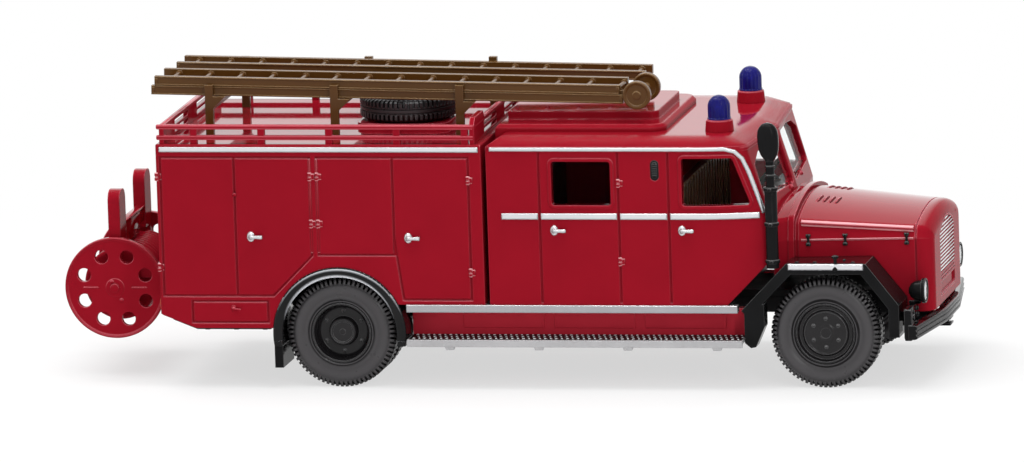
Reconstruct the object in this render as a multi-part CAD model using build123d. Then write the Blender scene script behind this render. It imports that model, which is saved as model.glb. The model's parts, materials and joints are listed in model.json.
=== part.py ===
from build123d import *
import math
import os

# A 1:87 plastic model of a bonneted crew-cab fire engine with a box body, roof ladders
# and a two-wheeled hose reel hung on the tail.  Millimetres, at the model's own size.
# +X points forward, +Y to the vehicle's left, +Z up.  The origin is on the ground under
# the middle of the overall length (within 0.2 mm) and width.

# ---------------------------------------------------------------- driving dimensions
wheelbase = 48.3
rear_axle_x = -15.1            # rear axle's place behind the origin
front_axle_x = rear_axle_x + wheelbase
body_width = 27.0              # over the flat sides of the cab and the box
half = body_width / 2

# ---------------------------------------------------------------- wheels and axles
tyre_d = 10.9
rim_d = 6.0                    # seat of the tyre on the rim
axle_d = 1.6
fit = 0.05                     # running clearance, on the radius
front_tyre_w = 3.0
rear_tyre_w = 6.0              # a twin pair moulded as one tyre
front_track_face = half - 1.3  # outer face of a front tyre, from the centre line
rear_track_face = half - 0.8
tread_round = 0.5              # rounding of the tread's edges, along the axle
sidewall_round = 0.8           # the same, towards the axle
twin_gap = (0.45, 1.0)         # groove between twin tyres: half its width, and its depth
rim_set = 0.2                  # the rim's back lies this far inside the tyre's
# The face of each rim, from its edge to the hub, as (radius, depth behind the tyre's face).
front_dish = ((3.0, 0.1), (2.75, 0.1), (2.6, 0.5), (2.15, 0.65), (2.0, 0.3), (0.8, 0.3))
rear_dish = ((3.0, 0.1), (2.75, 0.1), (2.6, 1.0), (2.35, 1.4), (1.4, 1.4), (1.25, 0.6),
             (0.8, 0.6))
axle_short = 0.1               # the axle ends this far inside the hub's face
axle_z = tyre_d / 2

# ---------------------------------------------------------------- chassis
rail_y = 4.0                   # centre of each frame rail
rail_t = 1.1
rail_z0 = 6.2
rail_z1 = 7.7
chassis_x0 = rear_axle_x - 16.4
chassis_x1 = front_axle_x + 7.5
bearing_len = 3.4              # bearing block, along X
cross_t = 1.2                  # cross-member, along X
screw_boss_x = 4.0             # boss for the screw of a display base
cross_xs = (chassis_x0 + 1.0, rear_axle_x - 6.9, rear_axle_x + 8.6, screw_boss_x,
            front_axle_x - 19.2, front_axle_x - 9.2)
screw_boss_r = 2.2
screw_r = 0.85
floor_gap = 0.2                # between the floor and the arches beside it
floor_end = 0.5                # the cab's floor stops this far short of the front arch

# ---------------------------------------------------------------- levels
body_z0 = 8.45                 # lower edge of the cab's and the box's sides
belt_z = 17.3                  # centre of the belt strips
box_roof_z = 24.4
box_gutter_z = box_roof_z - 0.5          # centre of the strip along the box's roof
door_top_z = box_roof_z - 1.3
cab_roof_z = 25.0
floor_t = 0.75
wall = 0.9                     # body walls

# ---------------------------------------------------------------- box body
cab_x0 = front_axle_x - 33.1
box_x0 = rear_axle_x - 18.0
box_x1 = cab_x0 - 0.5
box_tail_z0 = 6.05             # the body behind the rear wheels reaches lower
box_tail_slope = (3.6, 1.4)    # its bottom rear corner is cut off, along X and Z
arch_r = 6.7
seam = 0.22                    # width of the grooves between doors
seam_depth = 0.18
edge_r = 0.45                  # rounding of the box body's upright rear corners
roof_edge_r = 0.22             # rounding along the box's roof
liner_t = 0.85                 # black liner of each rear wheel arch
liner_end_z = 4.3              # its lower ends
liner_depth = 6.6
liner_proud = 0.2              # its rounded lip stands this far out of the side
flap_w = 5.0
flap_z0 = 2.1                  # foot of the rear mudflaps
# Doors and lockers on each side of the box, as closed outlines of (x, z).  Two stand
# behind the rear axle, one over it and one ahead, and a low flap is in the tail.
doors_x0 = box_x0 + 0.5
doors_x1 = box_x1 - 1.3
tail_split_x = doors_x0 + 7.4
axle_split = (rear_axle_x - 2.5, rear_axle_x - 1.8)      # the pillar over the rear axle
front_split_x = (axle_split[1] + doors_x1) / 2
side_doors = (
    ((doors_x0, 9.3), (tail_split_x, 9.3), (tail_split_x, door_top_z),
     (doors_x0, door_top_z)),
    ((tail_split_x, 9.3), (axle_split[0] - 4.0, 9.3), (axle_split[0], 13.3),
     (axle_split[0], door_top_z), (tail_split_x, door_top_z)),
    ((axle_split[1], 13.4), (front_split_x, 13.4), (front_split_x, door_top_z),
     (axle_split[1], door_top_z)),
    ((front_split_x, door_top_z), (front_split_x, 15.0), (front_split_x + 0.8, 8.95),
     (doors_x1, 8.95), (doors_x1, door_top_z)),
    ((doors_x0 + 2.8, 6.65), (rear_axle_x - 7.1, 6.65), (rear_axle_x - 7.1, 8.75),
     (doors_x0 + 2.8, 8.75)),
)
# Doors in the tail, as closed outlines of (y, z).
tail_door_y = half - 1.2
tail_doors = (
    ((-tail_door_y, 9.3), (0.0, 9.3), (0.0, door_top_z), (-tail_door_y, door_top_z)),
    ((0.0, 9.3), (tail_door_y, 9.3), (tail_door_y, door_top_z), (0.0, door_top_z)),
)

# ---------------------------------------------------------------- cab
cab_front_low = front_axle_x - 4.3       # the cab's front at the centre, by the cowl
cab_front_top = cab_front_low - 2.2      # the same, at the roof
cab_sweep = 0.9                # how far the front falls back towards the sides
cab_taper_x = cab_x0 + 20.4    # from here on the sides curve inwards
cab_taper = 1.5                # by this much at the front corners
cab_cowl_z = 17.0
cab_bend_z = 24.2              # where the roof starts
cab_corner_r = 0.9
roof_bevel = 1.3               # sloping edge of the roof along the sides
roof_front_bevel = 2.1         # and over the windscreen
roof_round = 1.0               # rounding between the roof's sloping edge and its top
cab_gutter_z = 23.9            # centre of the strip along the cab's roof
brim_out = 0.22                # lip over the windscreen
brim_z0 = 23.75
brim_z1 = 24.05
lip_w = 0.32                   # raised frame around each side window
lip_t = 0.12
door_seams = (cab_x0 + 5.25, cab_x0 + 13.15, cab_x0 + 18.15)
fender_top_z = 12.6
arch_cut = ((front_axle_x - 9.4, body_z0), (front_axle_x - 5.3, fender_top_z))
rear_window_x = (cab_x0 + 6.5, cab_x0 + 12.4)
rear_window = ((rear_window_x[0], 18.4), (rear_window_x[1], 18.4),
               (rear_window_x[1], 22.75), (rear_window_x[0], 22.75))
front_window_x = cab_x0 + 19.5
front_window = ((front_window_x, 18.35), (cab_front_top - 0.4, 18.35),
                (cab_front_top - 2.1, 23.05), (front_window_x, 23.05))
window_r = 0.3
pane_t = 0.3
pane_inset = 0.3               # how far the side windows' glass lies inside the skin
# One windscreen pane, as an outline of (y, z): its outer upper corner is cut back.
screen_y = half - 2.0
screen = ((0.55, 18.5), (screen_y, 18.7), (screen_y - 0.2, 22.1), (screen_y - 2.5, 23.0),
          (screen_y - 6.0, 23.35), (0.45, 23.4))
screen_r = 0.5
indicator_x = cab_x0 + 16.83   # slot for each turn indicator
indicator_w = 0.85
indicator_z = (20.85, 22.9)
indicator_t = 0.3
tray_t = 0.6                   # moulded floor of the cab's insert
back_t = 0.85                  # seat backs
# Each bench: its back, its front, the seat's top and the back rest's top.
rear_bench = (cab_x0 + 1.9, cab_x0 + 5.1, 13.0, 19.5)
front_bench = (cab_x0 + 18.3, cab_x0 + 22.8, 13.6, 20.1)
rib_pitch = 1.4                # ribs down the front bench's back rest
rib_w = 0.55
rib_t = 0.22
dash_x = cab_front_top - 1.4
dash_z0 = 15.4
dash_z1 = 17.6
steering_x = cab_front_top - 2.1
steering_y = 5.6
steering_z = 18.3
steering_r = 1.9
steering_t = 0.22
steering_tilt = 50.0           # degrees
steering_column = 2.4
column_r = 0.31

# ---------------------------------------------------------------- bonnet
bonnet_x0 = front_axle_x - 2.9
nose_seam_x = front_axle_x + 8.5
nose_x = front_axle_x + 10.2
bonnet_half_rear = half - 3.9
bonnet_half_front = half - 5.15
bonnet_z0 = 7.0
crease_z = 14.3
shoulder_rear_z = 16.2
shoulder_front_z = 15.4
crown_rear_z = 17.65
crown_front_z = 16.45
shoulder_in = 0.5              # how far the side leans in between crease and shoulder
shoulder_r = 0.7
nose_r = 1.5                   # rounding between the nose's front and its sides and top
nose_seam = 0.14
scuttle_x0 = cab_front_low - 2.3
scuttle_half = half - 1.2      # half its width where it leaves the cab
scuttle_x1 = cab_front_low + 0.45
collar = 0.18                  # height of the raised collar behind the bonnet
collar_x = (scuttle_x1, scuttle_x1 + 0.6)
grille_half = 4.1
grille_z0 = 7.75
grille_spring_z = 14.0
grille_top_z = 15.25
grille_depth = 0.35
slat_z0 = 10.15
slat_pitch = 0.36
slat_h = 0.17
slat_count = 14
slat_set = 0.04                # the slats lie this far inside the grille's frame
bar_zs = (9.1, 9.45, 9.8)      # the bolder bars under the slats

# ---------------------------------------------------------------- front end
fender_in = 4.7                # inner edge of each front fender, beside the chassis
fender_out = half - 0.15
fender_t = 0.7
fender_line = ((front_axle_x - 8.1, 7.9), (front_axle_x - 3.5, fender_top_z),
               (front_axle_x + 4.4, fender_top_z), (front_axle_x + 7.6, 8.5),
               (front_axle_x + 7.6, 5.3))
fender_lip = (1.05, 0.75)      # its deeper outer edge: depth, and width along Y
front_flap_x = front_axle_x - 7.8
front_flap = ((front_flap_x, 8.1), (front_flap_x, 4.7), (front_flap_x + 0.6, 4.2),
              (front_flap_x + 1.1, 4.3), (front_flap_x + 2.0, 6.3), (front_flap_x + 2.0, 8.6))
front_flap_in = half - 1.9
strip_t = 0.15                 # how far every silver strip stands proud
fender_strip_h = 0.6
bumper_front_x = front_axle_x + 10.7
bumper_sweep = 1.3
bumper_mid = 3.6               # half the straight middle
bumper_half = half
bumper_t = 0.9
bumper_z0 = 5.1
bumper_z1 = 6.5
bumper_round = 0.4
bumper_plate_y = (half - 4.7, half - 0.2)          # upright plate behind each end
bumper_plate_z1 = 8.1
horn_t = 0.8                   # cross piece between the bumper's horns
jaw = (0.8, 1.8, 0.9)          # tow coupling, along X, Y and Z
headlight_y = half - 3.5
headlight_z = 9.4
headlight_r = 1.1
headlight_x = front_axle_x + 9.8         # front of the lens' rim
headlight_len = 1.7
headlight_foot = 0.6
lens_t = 0.25
lens_rim = 0.14

# ---------------------------------------------------------------- sills and boards
board_x0 = rear_axle_x + arch_r + 0.1
board_x1 = front_axle_x - 8.0
sill_trim_end = 0.4            # the sill strip stops this far short of the board's end
board_in = half - 2.9
board_out = half + 0.4
board_z = 5.0
board_t = 0.35
board_lip = 0.7
sill_t = 1.0

# ---------------------------------------------------------------- roof gear
rail_bar = 0.45                # height of each railing bar
rail_bar_t = 0.5
railing_y = half - 0.25        # outer face of the railing
railing_top_z = box_roof_z + 1.9
railing_low_z = box_roof_z + 0.85
railing_x0 = box_x0 + 0.45
railing_x1 = box_x1 - 0.6
railing_post_w = 0.7
railing_post_ends = (railing_x0 + 3.45, railing_x1 - 1.0)
railing_post_count = 5
tail_slot_y = 5.1              # slots through the railing's end boards
tail_slot_len = 6.2
tail_slot_zs = ((box_roof_z + 0.35, box_roof_z + 0.75),
                (box_roof_z + 1.05, box_roof_z + 1.55))
ear_y = railing_y - 5.35       # raised corner pieces of the front end board
ear_h = 0.7
rack_ends = (box_x0 + 4.6, box_x1 - 2.9)
rack_xs = (rack_ends[0], (rack_ends[0] + rack_ends[1]) / 2, rack_ends[1])
rack_y = 8.75                  # outer face of the rack's legs
rack_leg = (0.8, 0.55)         # along X and Y
rack_bar_t = 0.6
rack_bar_drop = 0.9            # the cross bars' tops lie this far below the ladders
rack_top_z = box_roof_z + 5.1
gusset = (1.2, 1.2)            # brace ahead of each leg, along X and Z
ladder_tilt = 1.1              # degrees, down towards the front
ladder_x0 = box_x0 - 1.3
ladder_x1 = cab_x0 + 12.9
ladder_len = ladder_x1 - ladder_x0
ladder_z0 = box_roof_z + 4.1   # underside of the lower ladder at its rear end
beam_h = 0.9
beam_t = 0.6
rung_d = 0.5
rung_pitch = 3.2
rung_start = 1.6
ladder_gap = 0.02              # between the stacked ladders
ladder_step = 0.35             # the upper one is this much shorter at each end
plug_lift = 0.35
ladder_y = 5.7                 # centre of the extension ladder, on the right side
ladder_half = 2.5              # its centre line to a beam's outer face
plug_y = 5.65                  # centre of the plug ladder, on the left side
plug_half = 2.15
roller_r = 1.4
roller_t = 0.7
roller_pin_r = 0.35
spare_x = box_x1 - 9.8
spare_d = 9.7
spare_h = 2.5
spare_dish = 0.8
spare_base_y = 4.2
spare_base_t = 0.5
spare_base_r = 1.5

# ---------------------------------------------------------------- roof of the cab
# Two stepped pads: rear, front, half width, thickness and the front corners' radius.
pad_low = (cab_x0 + 0.2, cab_x0 + 17.1, half - 4.2, 0.7, 1.6)
pad_high = (cab_x0 + 0.9, cab_x0 + 15.9, half - 7.4, 0.8, 0.8)
pad_edge = 0.35                # slope round the lower pad's top
beacon_x = cab_front_top - 4.1
beacon_y = half - 5.0
beacon_z = 26.1                # top of each beacon's base
beacon_base_r = (1.5, 1.32)    # at its foot, and at its top
beacon_r = 1.17
beacon_dome_h = 1.3            # straight part of the dome
intake_x = cab_front_low - 0.6
intake_y = 0.75 - half         # it stands on the right side
intake_r = 0.53
intake_neck_r = 0.42
intake_neck_z = 20.1
intake_clamps = (12.6, 16.5, 19.9)
intake_head = (intake_x - 1.2, intake_x + 0.9, 26.5)     # rear, front, top
intake_head_z0 = 23.1
head_taper = 0.9               # its lower corners are cut off
head_half = 0.85
head_round = 0.64

# ---------------------------------------------------------------- trim and fittings
strip_h = 0.5
roof_strip = ((cab_x0 + 0.4, 24.15), (cab_front_top - 2.8, 24.15),
              (cab_front_top - 1.7, 23.85), (cab_front_top - 0.95, 23.1),
              (cab_front_top - 0.35, 21.7), (cab_front_top + 0.4, 19.4),
              (cab_front_top + 1.0, 17.55))
roof_strip_w = 0.38
belt_h = 0.6
belt_gap = 0.15                # from a belt strip's end to the door seam beside it
belt_ends = (cab_x0 + 1.45, cab_front_top + 0.4)
handle_places = ((tail_split_x + 1.5, 15.2), (front_split_x + 1.4, 15.1),
                 (door_seams[0] + 1.4, 15.9), (door_seams[2] + 1.25, 15.9))
handle_r = 0.38
handle_len = 1.1
handle_out = 0.5
latch_xs = (bonnet_x0 + 1.0, bonnet_x0 + 4.6, bonnet_x0 + 10.6)
latch_size = (0.44, 0.3, 1.1)  # along X, out of the bonnet's side, and Z
rear_lamp_y = (half - 2.8, half - 1.0)
rear_lamp_z = (7.75, 8.85)
rear_lamp_t = 0.3

# ---------------------------------------------------------------- hose reel
reel_x = box_x0 - 5.8
reel_z = 9.0
reel_r = 5.05
reel_disc_y = 7.25             # inner face of each disc
reel_disc_t = 0.55
reel_hole_r = 0.65
reel_lip = 0.14                # raised lip round each hole
reel_hole_circle = 3.35
reel_holes = 8
reel_hub_r = 0.9
reel_hub_t = 0.25
reel_axle_r = 0.45
reel_hose_r = 3.6
reel_hose_half = 5.6
blade_y = (4.4, 7.1)           # inner and outer edge of each upright blade
blade_t = 1.2
blade_top_z = 18.6
blade_clear = 0.35             # between the wide upper part of a blade and the hose
arm_t = 0.7                    # arms that hold the reel out from the tail
arm_h = 2.4


# ---------------------------------------------------------------- helpers
def prism_xy(face, z0, z1):
    return extrude(Plane.XY.offset(z0) * face, amount=z1 - z0)


def prism_xz(face, y0, y1):
    return extrude(Plane.XZ.offset(-y1) * face, amount=y1 - y0)


def prism_yz(face, x0, x1):
    return extrude(Plane.YZ.offset(x0) * face, amount=x1 - x0)


def polygon(points, r=0.0):
    face = make_face(Polyline(*points, close=True))
    return fillet(face.vertices(), r) if r else face


def outline_ring(points, width):
    """The closed line through the points, as a flat band of the given width."""
    face = polygon(points)
    outer = offset(face, amount=width / 2, kind=Kind.INTERSECTION)
    return outer - offset(face, amount=-width / 2, kind=Kind.INTERSECTION)


def block(x0, x1, y0, y1, z0, z1):
    centre = ((x0 + x1) / 2, (y0 + y1) / 2, (z0 + z1) / 2)
    return Pos(*centre) * Box(x1 - x0, y1 - y0, z1 - z0)


def rod_y(x, z, r, y0, y1):
    return Pos(x, (y0 + y1) / 2, z) * Rot(90, 0, 0) * Cylinder(r, y1 - y0)


def rod_x(y, z, r, x0, x1):
    return Pos((x0 + x1) / 2, y, z) * Rot(0, 90, 0) * Cylinder(r, x1 - x0)


def rod_z(x, y, r, z0, z1):
    return Pos(x, y, (z0 + z1) / 2) * Cylinder(r, z1 - z0)


def both(shape):
    """The shape and its mirror image on the other side of the vehicle."""
    return [shape, mirror(shape, Plane.XZ)]


def cut_both(body, tool):
    """The body with the tool and its mirror image cut away."""
    return body - tool - mirror(tool, Plane.XZ)


def bent_strip(line, t):
    """A bent strip's outline: the line, and the same line set in by t below it."""
    inner = []
    for i, (x, z) in enumerate(line):
        before = line[max(i - 1, 0)]
        after = line[min(i + 1, len(line) - 1)]
        a = math.atan2(z - before[1], x - before[0]) if i else None
        b = math.atan2(after[1] - z, after[0] - x) if i < len(line) - 1 else None
        a = b if a is None else a
        b = a if b is None else b
        mid = (a + b) / 2
        reach = t / math.cos((b - a) / 2)
        inner.append((x + reach * math.sin(mid), z - reach * math.cos(mid)))
    return list(line) + inner[::-1]


def turned_y(profile, x, z):
    """A solid of revolution about a Y line; profile is (radius, y) pairs."""
    return Pos(x, 0, z) * revolve(make_face(Polyline(*profile, close=True)), Axis.Y)


parts = {}


def keep(name, *shapes):
    """File the shapes under one node's name; lists of shapes are flattened."""
    flat = []
    for shape in shapes:
        flat += list(shape) if isinstance(shape, (list, tuple)) else [shape]
    solids = [s for shape in flat for s in shape.solids()]
    parts[name] = solids[0] if len(solids) == 1 else Compound(children=solids)


# ---------------------------------------------------------------- chassis
def make_chassis():
    rail = block(chassis_x0, chassis_x1, rail_y - rail_t / 2, rail_y + rail_t / 2,
                 rail_z0, rail_z1)
    frame = rail + mirror(rail, Plane.XZ)
    for x in cross_xs:
        frame += block(x - cross_t / 2, x + cross_t / 2, -rail_y, rail_y, rail_z0, rail_z1)
    for x in (rear_axle_x, front_axle_x):
        frame += block(x - bearing_len / 2, x + bearing_len / 2, -rail_y - rail_t / 2,
                       rail_y + rail_t / 2, axle_z - axle_d, rail_z1)
    for x in (rear_axle_x, front_axle_x):
        frame -= rod_y(x, axle_z, axle_d / 2 + fit, -half, half)
    arch_x0 = rear_axle_x - arch_r - floor_gap
    arch_x1 = rear_axle_x + arch_r + floor_gap
    cab_end = arch_cut[0][0] - floor_end
    side = half - wall
    narrow = half - liner_depth - floor_gap
    for x0, x1, y in ((box_x0 + wall, arch_x0, side), (arch_x0, arch_x1, narrow),
                      (arch_x1, cab_end, side), (cab_end, chassis_x1, fender_in - floor_gap)):
        frame += block(x0, x1, -y, y, rail_z1, rail_z1 + floor_t)
    frame += rod_z(screw_boss_x, 0, screw_boss_r, rail_z0, rail_z1)
    frame -= rod_z(screw_boss_x, 0, screw_r, 0, rail_z1 + 2 * floor_t)
    keep("chassis", frame)


# ---------------------------------------------------------------- wheels
def make_wheels():
    tyre_r = tyre_d / 2
    rim_r = rim_d / 2
    for end, x, width, face_y, dish in (
            ("front", front_axle_x, front_tyre_w, front_track_face, front_dish),
            ("rear", rear_axle_x, rear_tyre_w, rear_track_face, rear_dish)):
        inner_y = face_y - width
        edge = [(tyre_r, inner_y + tread_round), (tyre_r, face_y - tread_round)]
        if end == "rear":
            mid = (inner_y + face_y) / 2
            w, d = twin_gap
            edge[1:1] = [(tyre_r, mid - w), (tyre_r - d, mid - w / 3),
                         (tyre_r - d, mid + w / 3), (tyre_r, mid + w)]
        wall_r = tyre_r - sidewall_round
        tyre = [(rim_r, inner_y), (wall_r, inner_y)] + edge + [(wall_r, face_y), (rim_r, face_y)]
        keep(end + "_tyres", both(turned_y(tyre, x, axle_z)))
        rim = [(axle_d / 2, inner_y + rim_set), (rim_r, inner_y + rim_set)]
        rim += [(r, face_y - depth) for r, depth in dish]
        keep(end + "_rims", both(turned_y(rim, x, axle_z)))
        axle_end = face_y - dish[-1][1] - axle_short
        keep(end + "_axle", rod_y(x, axle_z, axle_d / 2, -axle_end, axle_end))


# ---------------------------------------------------------------- box body
def make_box():
    side = [(box_x0, box_tail_z0 + box_tail_slope[1]),
            (box_x0 + box_tail_slope[0], box_tail_z0),
            (rear_axle_x, box_tail_z0), (rear_axle_x, body_z0), (box_x1, body_z0),
            (box_x1, box_roof_z), (box_x0, box_roof_z)]
    shell = prism_xz(polygon(side), -half, half)
    upright = [e for e in shell.edges().filter_by(Axis.Z) if e.center().X < box_x0 + seam]
    shell = fillet(upright, edge_r)
    shell = fillet(shell.faces().sort_by(Axis.Z)[-1].edges(), roof_edge_r)
    inner = [(box_x0 + wall, box_tail_z0 - 1), (rear_axle_x, box_tail_z0 - 1),
             (rear_axle_x, body_z0 - 1), (box_x1 - wall, body_z0 - 1),
             (box_x1 - wall, box_roof_z - wall), (box_x0 + wall, box_roof_z - wall)]
    shell -= prism_xz(polygon(inner), -half + wall, half - wall)
    shell -= rod_y(rear_axle_x, axle_z, arch_r, -half - 1, half + 1)
    for door in side_doors:
        shell = cut_both(shell, prism_xz(outline_ring(door, seam), half - seam_depth, half + 1))
    for door in tail_doors:
        shell -= prism_yz(outline_ring(door, seam), box_x0 - 1, box_x0 + seam_depth)
    keep("box_body", shell)

    liner = rod_y(rear_axle_x, axle_z, arch_r, half - liner_depth, half + liner_proud)
    lip = [e for e in liner.edges().filter_by(GeomType.CIRCLE) if e.center().Y > half]
    liner = fillet(lip, liner_proud)
    liner -= rod_y(rear_axle_x, axle_z, arch_r - liner_t, half - liner_depth - 1, half + 1)
    liner -= block(rear_axle_x - 2 * arch_r, rear_axle_x + 2 * arch_r, 0, half + 1, -arch_r,
                   liner_end_z)
    keep("rear_arch_liners", both(liner))
    reach = math.sqrt(arch_r ** 2 - (axle_z - liner_end_z) ** 2)
    flap_x = rear_axle_x - reach
    flap = block(flap_x, flap_x + liner_t, half - flap_w, half, flap_z0, liner_end_z)
    keep("mudflaps", both(flap))


# ---------------------------------------------------------------- sills, boards
def make_sides():
    sill = block(board_x0, board_x1, board_in - sill_t, board_in, board_z - board_t, rail_z1)
    keep("sills", both(sill))
    board = block(board_x0, board_x1, board_in, board_out, board_z - board_t, board_z)
    board += block(board_x0, board_x1, board_out - board_t, board_out, board_z - board_lip,
                   board_z)
    keep("running_boards", both(board))


# ---------------------------------------------------------------- cab
def cab_plan(front, inset):
    """The cab's outline from above: flat sides that curve inwards, and a vee front."""
    y = half - inset
    x_side = front - cab_sweep - inset
    x_mid = front - inset
    run = cab_front_low - cab_sweep - cab_taper_x
    bend_r = (run ** 2 + cab_taper ** 2) / (2 * cab_taper) - inset

    def side_y(x):
        return y - bend_r + math.sqrt(bend_r ** 2 - (x - cab_taper_x) ** 2)

    x0 = cab_x0 + inset
    half_way = (cab_taper_x + x_side) / 2
    bend = ThreePointArc((cab_taper_x, y), (half_way, side_y(half_way)),
                         (x_side, side_y(x_side)))
    other_bend = ThreePointArc((cab_taper_x, -y), (half_way, -side_y(half_way)),
                               (x_side, -side_y(x_side)))
    straight = Polyline((cab_taper_x, -y), (x0, -y), (x0, y), (cab_taper_x, y))
    vee = Polyline((x_side, side_y(x_side)), (x_mid, 0), (x_side, -side_y(x_side)))
    face = make_face([straight, bend, vee, other_bend])
    corners = [v for v in face.vertices() if abs(v.X - x_side) < 1e-6]
    return fillet(corners, cab_corner_r)


def cab_solid(inset, z0, roof_z=None):
    """The cab's outer shape set in by inset, from z0 up to its roof or its bend."""
    low = prism_xy(cab_plan(cab_front_low, inset), z0, cab_cowl_z)
    bend_plan = cab_plan(cab_front_top, inset)
    shape = low + loft([Plane.XY.offset(cab_cowl_z) * cab_plan(cab_front_low, inset),
                        Plane.XY.offset(cab_bend_z) * bend_plan], ruled=True)
    if roof_z is None:
        return shape
    top_plan = cab_plan(cab_front_top - roof_front_bevel + roof_bevel, inset + roof_bevel)
    roof = loft([Plane.XY.offset(cab_bend_z) * bend_plan,
                 Plane.XY.offset(roof_z) * top_plan], ruled=True)
    return shape + roof


def cab_skin(face, t):
    """The part of a thin skin over the cab's side that lies within an (x, z) outline."""
    skin = cab_solid(-t, body_z0) - cab_solid(0.0, body_z0 - 1)
    return skin & prism_xz(face, 0, half + 1)


def make_cab():
    outer = cab_solid(0.0, body_z0, cab_roof_z)
    outer = fillet(outer.faces().sort_by(Axis.Z)[-1].edges(), roof_round)
    inner = cab_solid(wall, body_z0 - 1)
    inner &= block(cab_x0, cab_front_low, -half, half, 0, cab_bend_z - wall / 2)
    shell = outer - inner
    brim = prism_xy(cab_plan(cab_front_top + brim_out, 0.0), brim_z0, brim_z1)
    brim -= prism_xy(cab_plan(cab_front_top - wall / 2, 0.0), brim_z0 - 1, brim_z1 + 1)
    shell += brim & block(cab_front_top - 2, cab_front_low, -half, half, 0, 2 * cab_bend_z)
    (ax, az), (bx, bz) = arch_cut
    cut = polygon([(ax, az - 1), (ax, az), (bx, bz), (bx + 3, bz), (bx + 3, az - 1)])
    shell -= prism_xz(cut, -half - 1, half + 1)
    windows = [polygon(outline, window_r) for outline in (rear_window, front_window)]
    for face in windows:
        frame = offset(face, amount=lip_w, kind=Kind.ARC)
        shell += both(cab_skin(frame, lip_t))
    for face in windows:
        shell -= prism_xz(face, -half - 1, half + 1)
    screen_face = polygon(screen, screen_r)
    windscreen = prism_yz(screen_face, cab_taper_x, cab_front_low + 1)
    shell = cut_both(shell, windscreen)
    z0, z1 = indicator_z
    slot_face = Pos(indicator_x, (z0 + z1) / 2) * Rot(0, 0, 90) * SlotOverall(z1 - z0, indicator_w)
    shell = cut_both(shell, prism_xz(slot_face, half - indicator_t, half + 1))
    for x in door_seams:
        groove = block(x - seam / 2, x + seam / 2, half - seam_depth, half + 1,
                       body_z0 + seam, cab_gutter_z - seam)
        shell = cut_both(shell, groove)
    keep("cab_body", shell)

    glass = cab_solid(pane_inset, body_z0) - cab_solid(pane_inset + pane_t, body_z0 - 1)
    keep("side_windows", *[both(glass & prism_xz(face, 0, half + 1)) for face in windows])
    keep("windscreen", both(glass & windscreen))
    keep("turn_indicators", both(prism_xz(slot_face, half - indicator_t, half - seam_depth)))
    return outer, cab_solid(wall, body_z0 - 1)


def make_interior(room):
    floor_z = rail_z1 + floor_t
    top = floor_z + tray_t
    tray = block(cab_x0 + wall, arch_cut[0][0] - floor_end, -half, half, floor_z, top)
    for back_x, front_x, seat_z, back_z in (rear_bench, front_bench):
        tray += block(back_x, front_x, -half, half, top, seat_z)
        tray += block(back_x, back_x + back_t, -half, half, seat_z, back_z)
    rib_x = front_bench[0] + back_t
    count = int(2 * half / rib_pitch)
    for i in range(count):
        y = (i - (count - 1) / 2) * rib_pitch
        tray += block(rib_x, rib_x + rib_t, y - rib_w / 2, y + rib_w / 2, front_bench[2],
                      front_bench[3])
    keep("cab_interior", tray & room)
    dash = block(dash_x, cab_front_low, -half, half, dash_z0, dash_z1) & room
    keep("dashboard", dash)
    at = Pos(steering_x, steering_y, steering_z) * Rot(0, -steering_tilt, 0)
    ring = at * Torus(steering_r, steering_t)
    for size in ((2 * steering_r, 2 * steering_t, steering_t),
                 (2 * steering_t, 2 * steering_r, steering_t)):
        ring += at * Box(*size)
    column = at * Pos(0, 0, -steering_column / 2) * Cylinder(column_r, steering_column)
    keep("steering_wheel", (column + ring) - dash)


# ---------------------------------------------------------------- bonnet
def bonnet_section(x, half_w, shoulder, crown, z0):
    """The bonnet cut across: upright sides, a crease, rounded shoulders, arched top."""
    y = half_w
    lean = y - shoulder_in
    line = Polyline((lean, shoulder), (y, crease_z), (y, z0), (-y, z0), (-y, crease_z),
                    (-lean, shoulder))
    arc = ThreePointArc((-lean, shoulder), (0, crown), (lean, shoulder))
    face = make_face([line, arc])
    shoulders = [v for v in face.vertices() if abs(v.Y - shoulder) < 1e-6]
    return Plane.YZ.offset(x) * fillet(shoulders, shoulder_r)


def arch_prism(line, y0, y1):
    """Everything under a fender's line, down to the ground."""
    closed = [(line[0][0], 0)] + list(line) + [(line[-1][0], 0)]
    return prism_xz(polygon(closed), y0, y1)


def grille_outline():
    y = grille_half
    frame = Polyline((-y, grille_spring_z), (-y, grille_z0), (y, grille_z0),
                     (y, grille_spring_z))
    arch = ThreePointArc((-y, grille_spring_z), (0, grille_top_z), (y, grille_spring_z))
    face = make_face([frame, arch])
    return fillet([v for v in face.vertices() if v.Y < grille_z0 + seam], 2 * seam)


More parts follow.
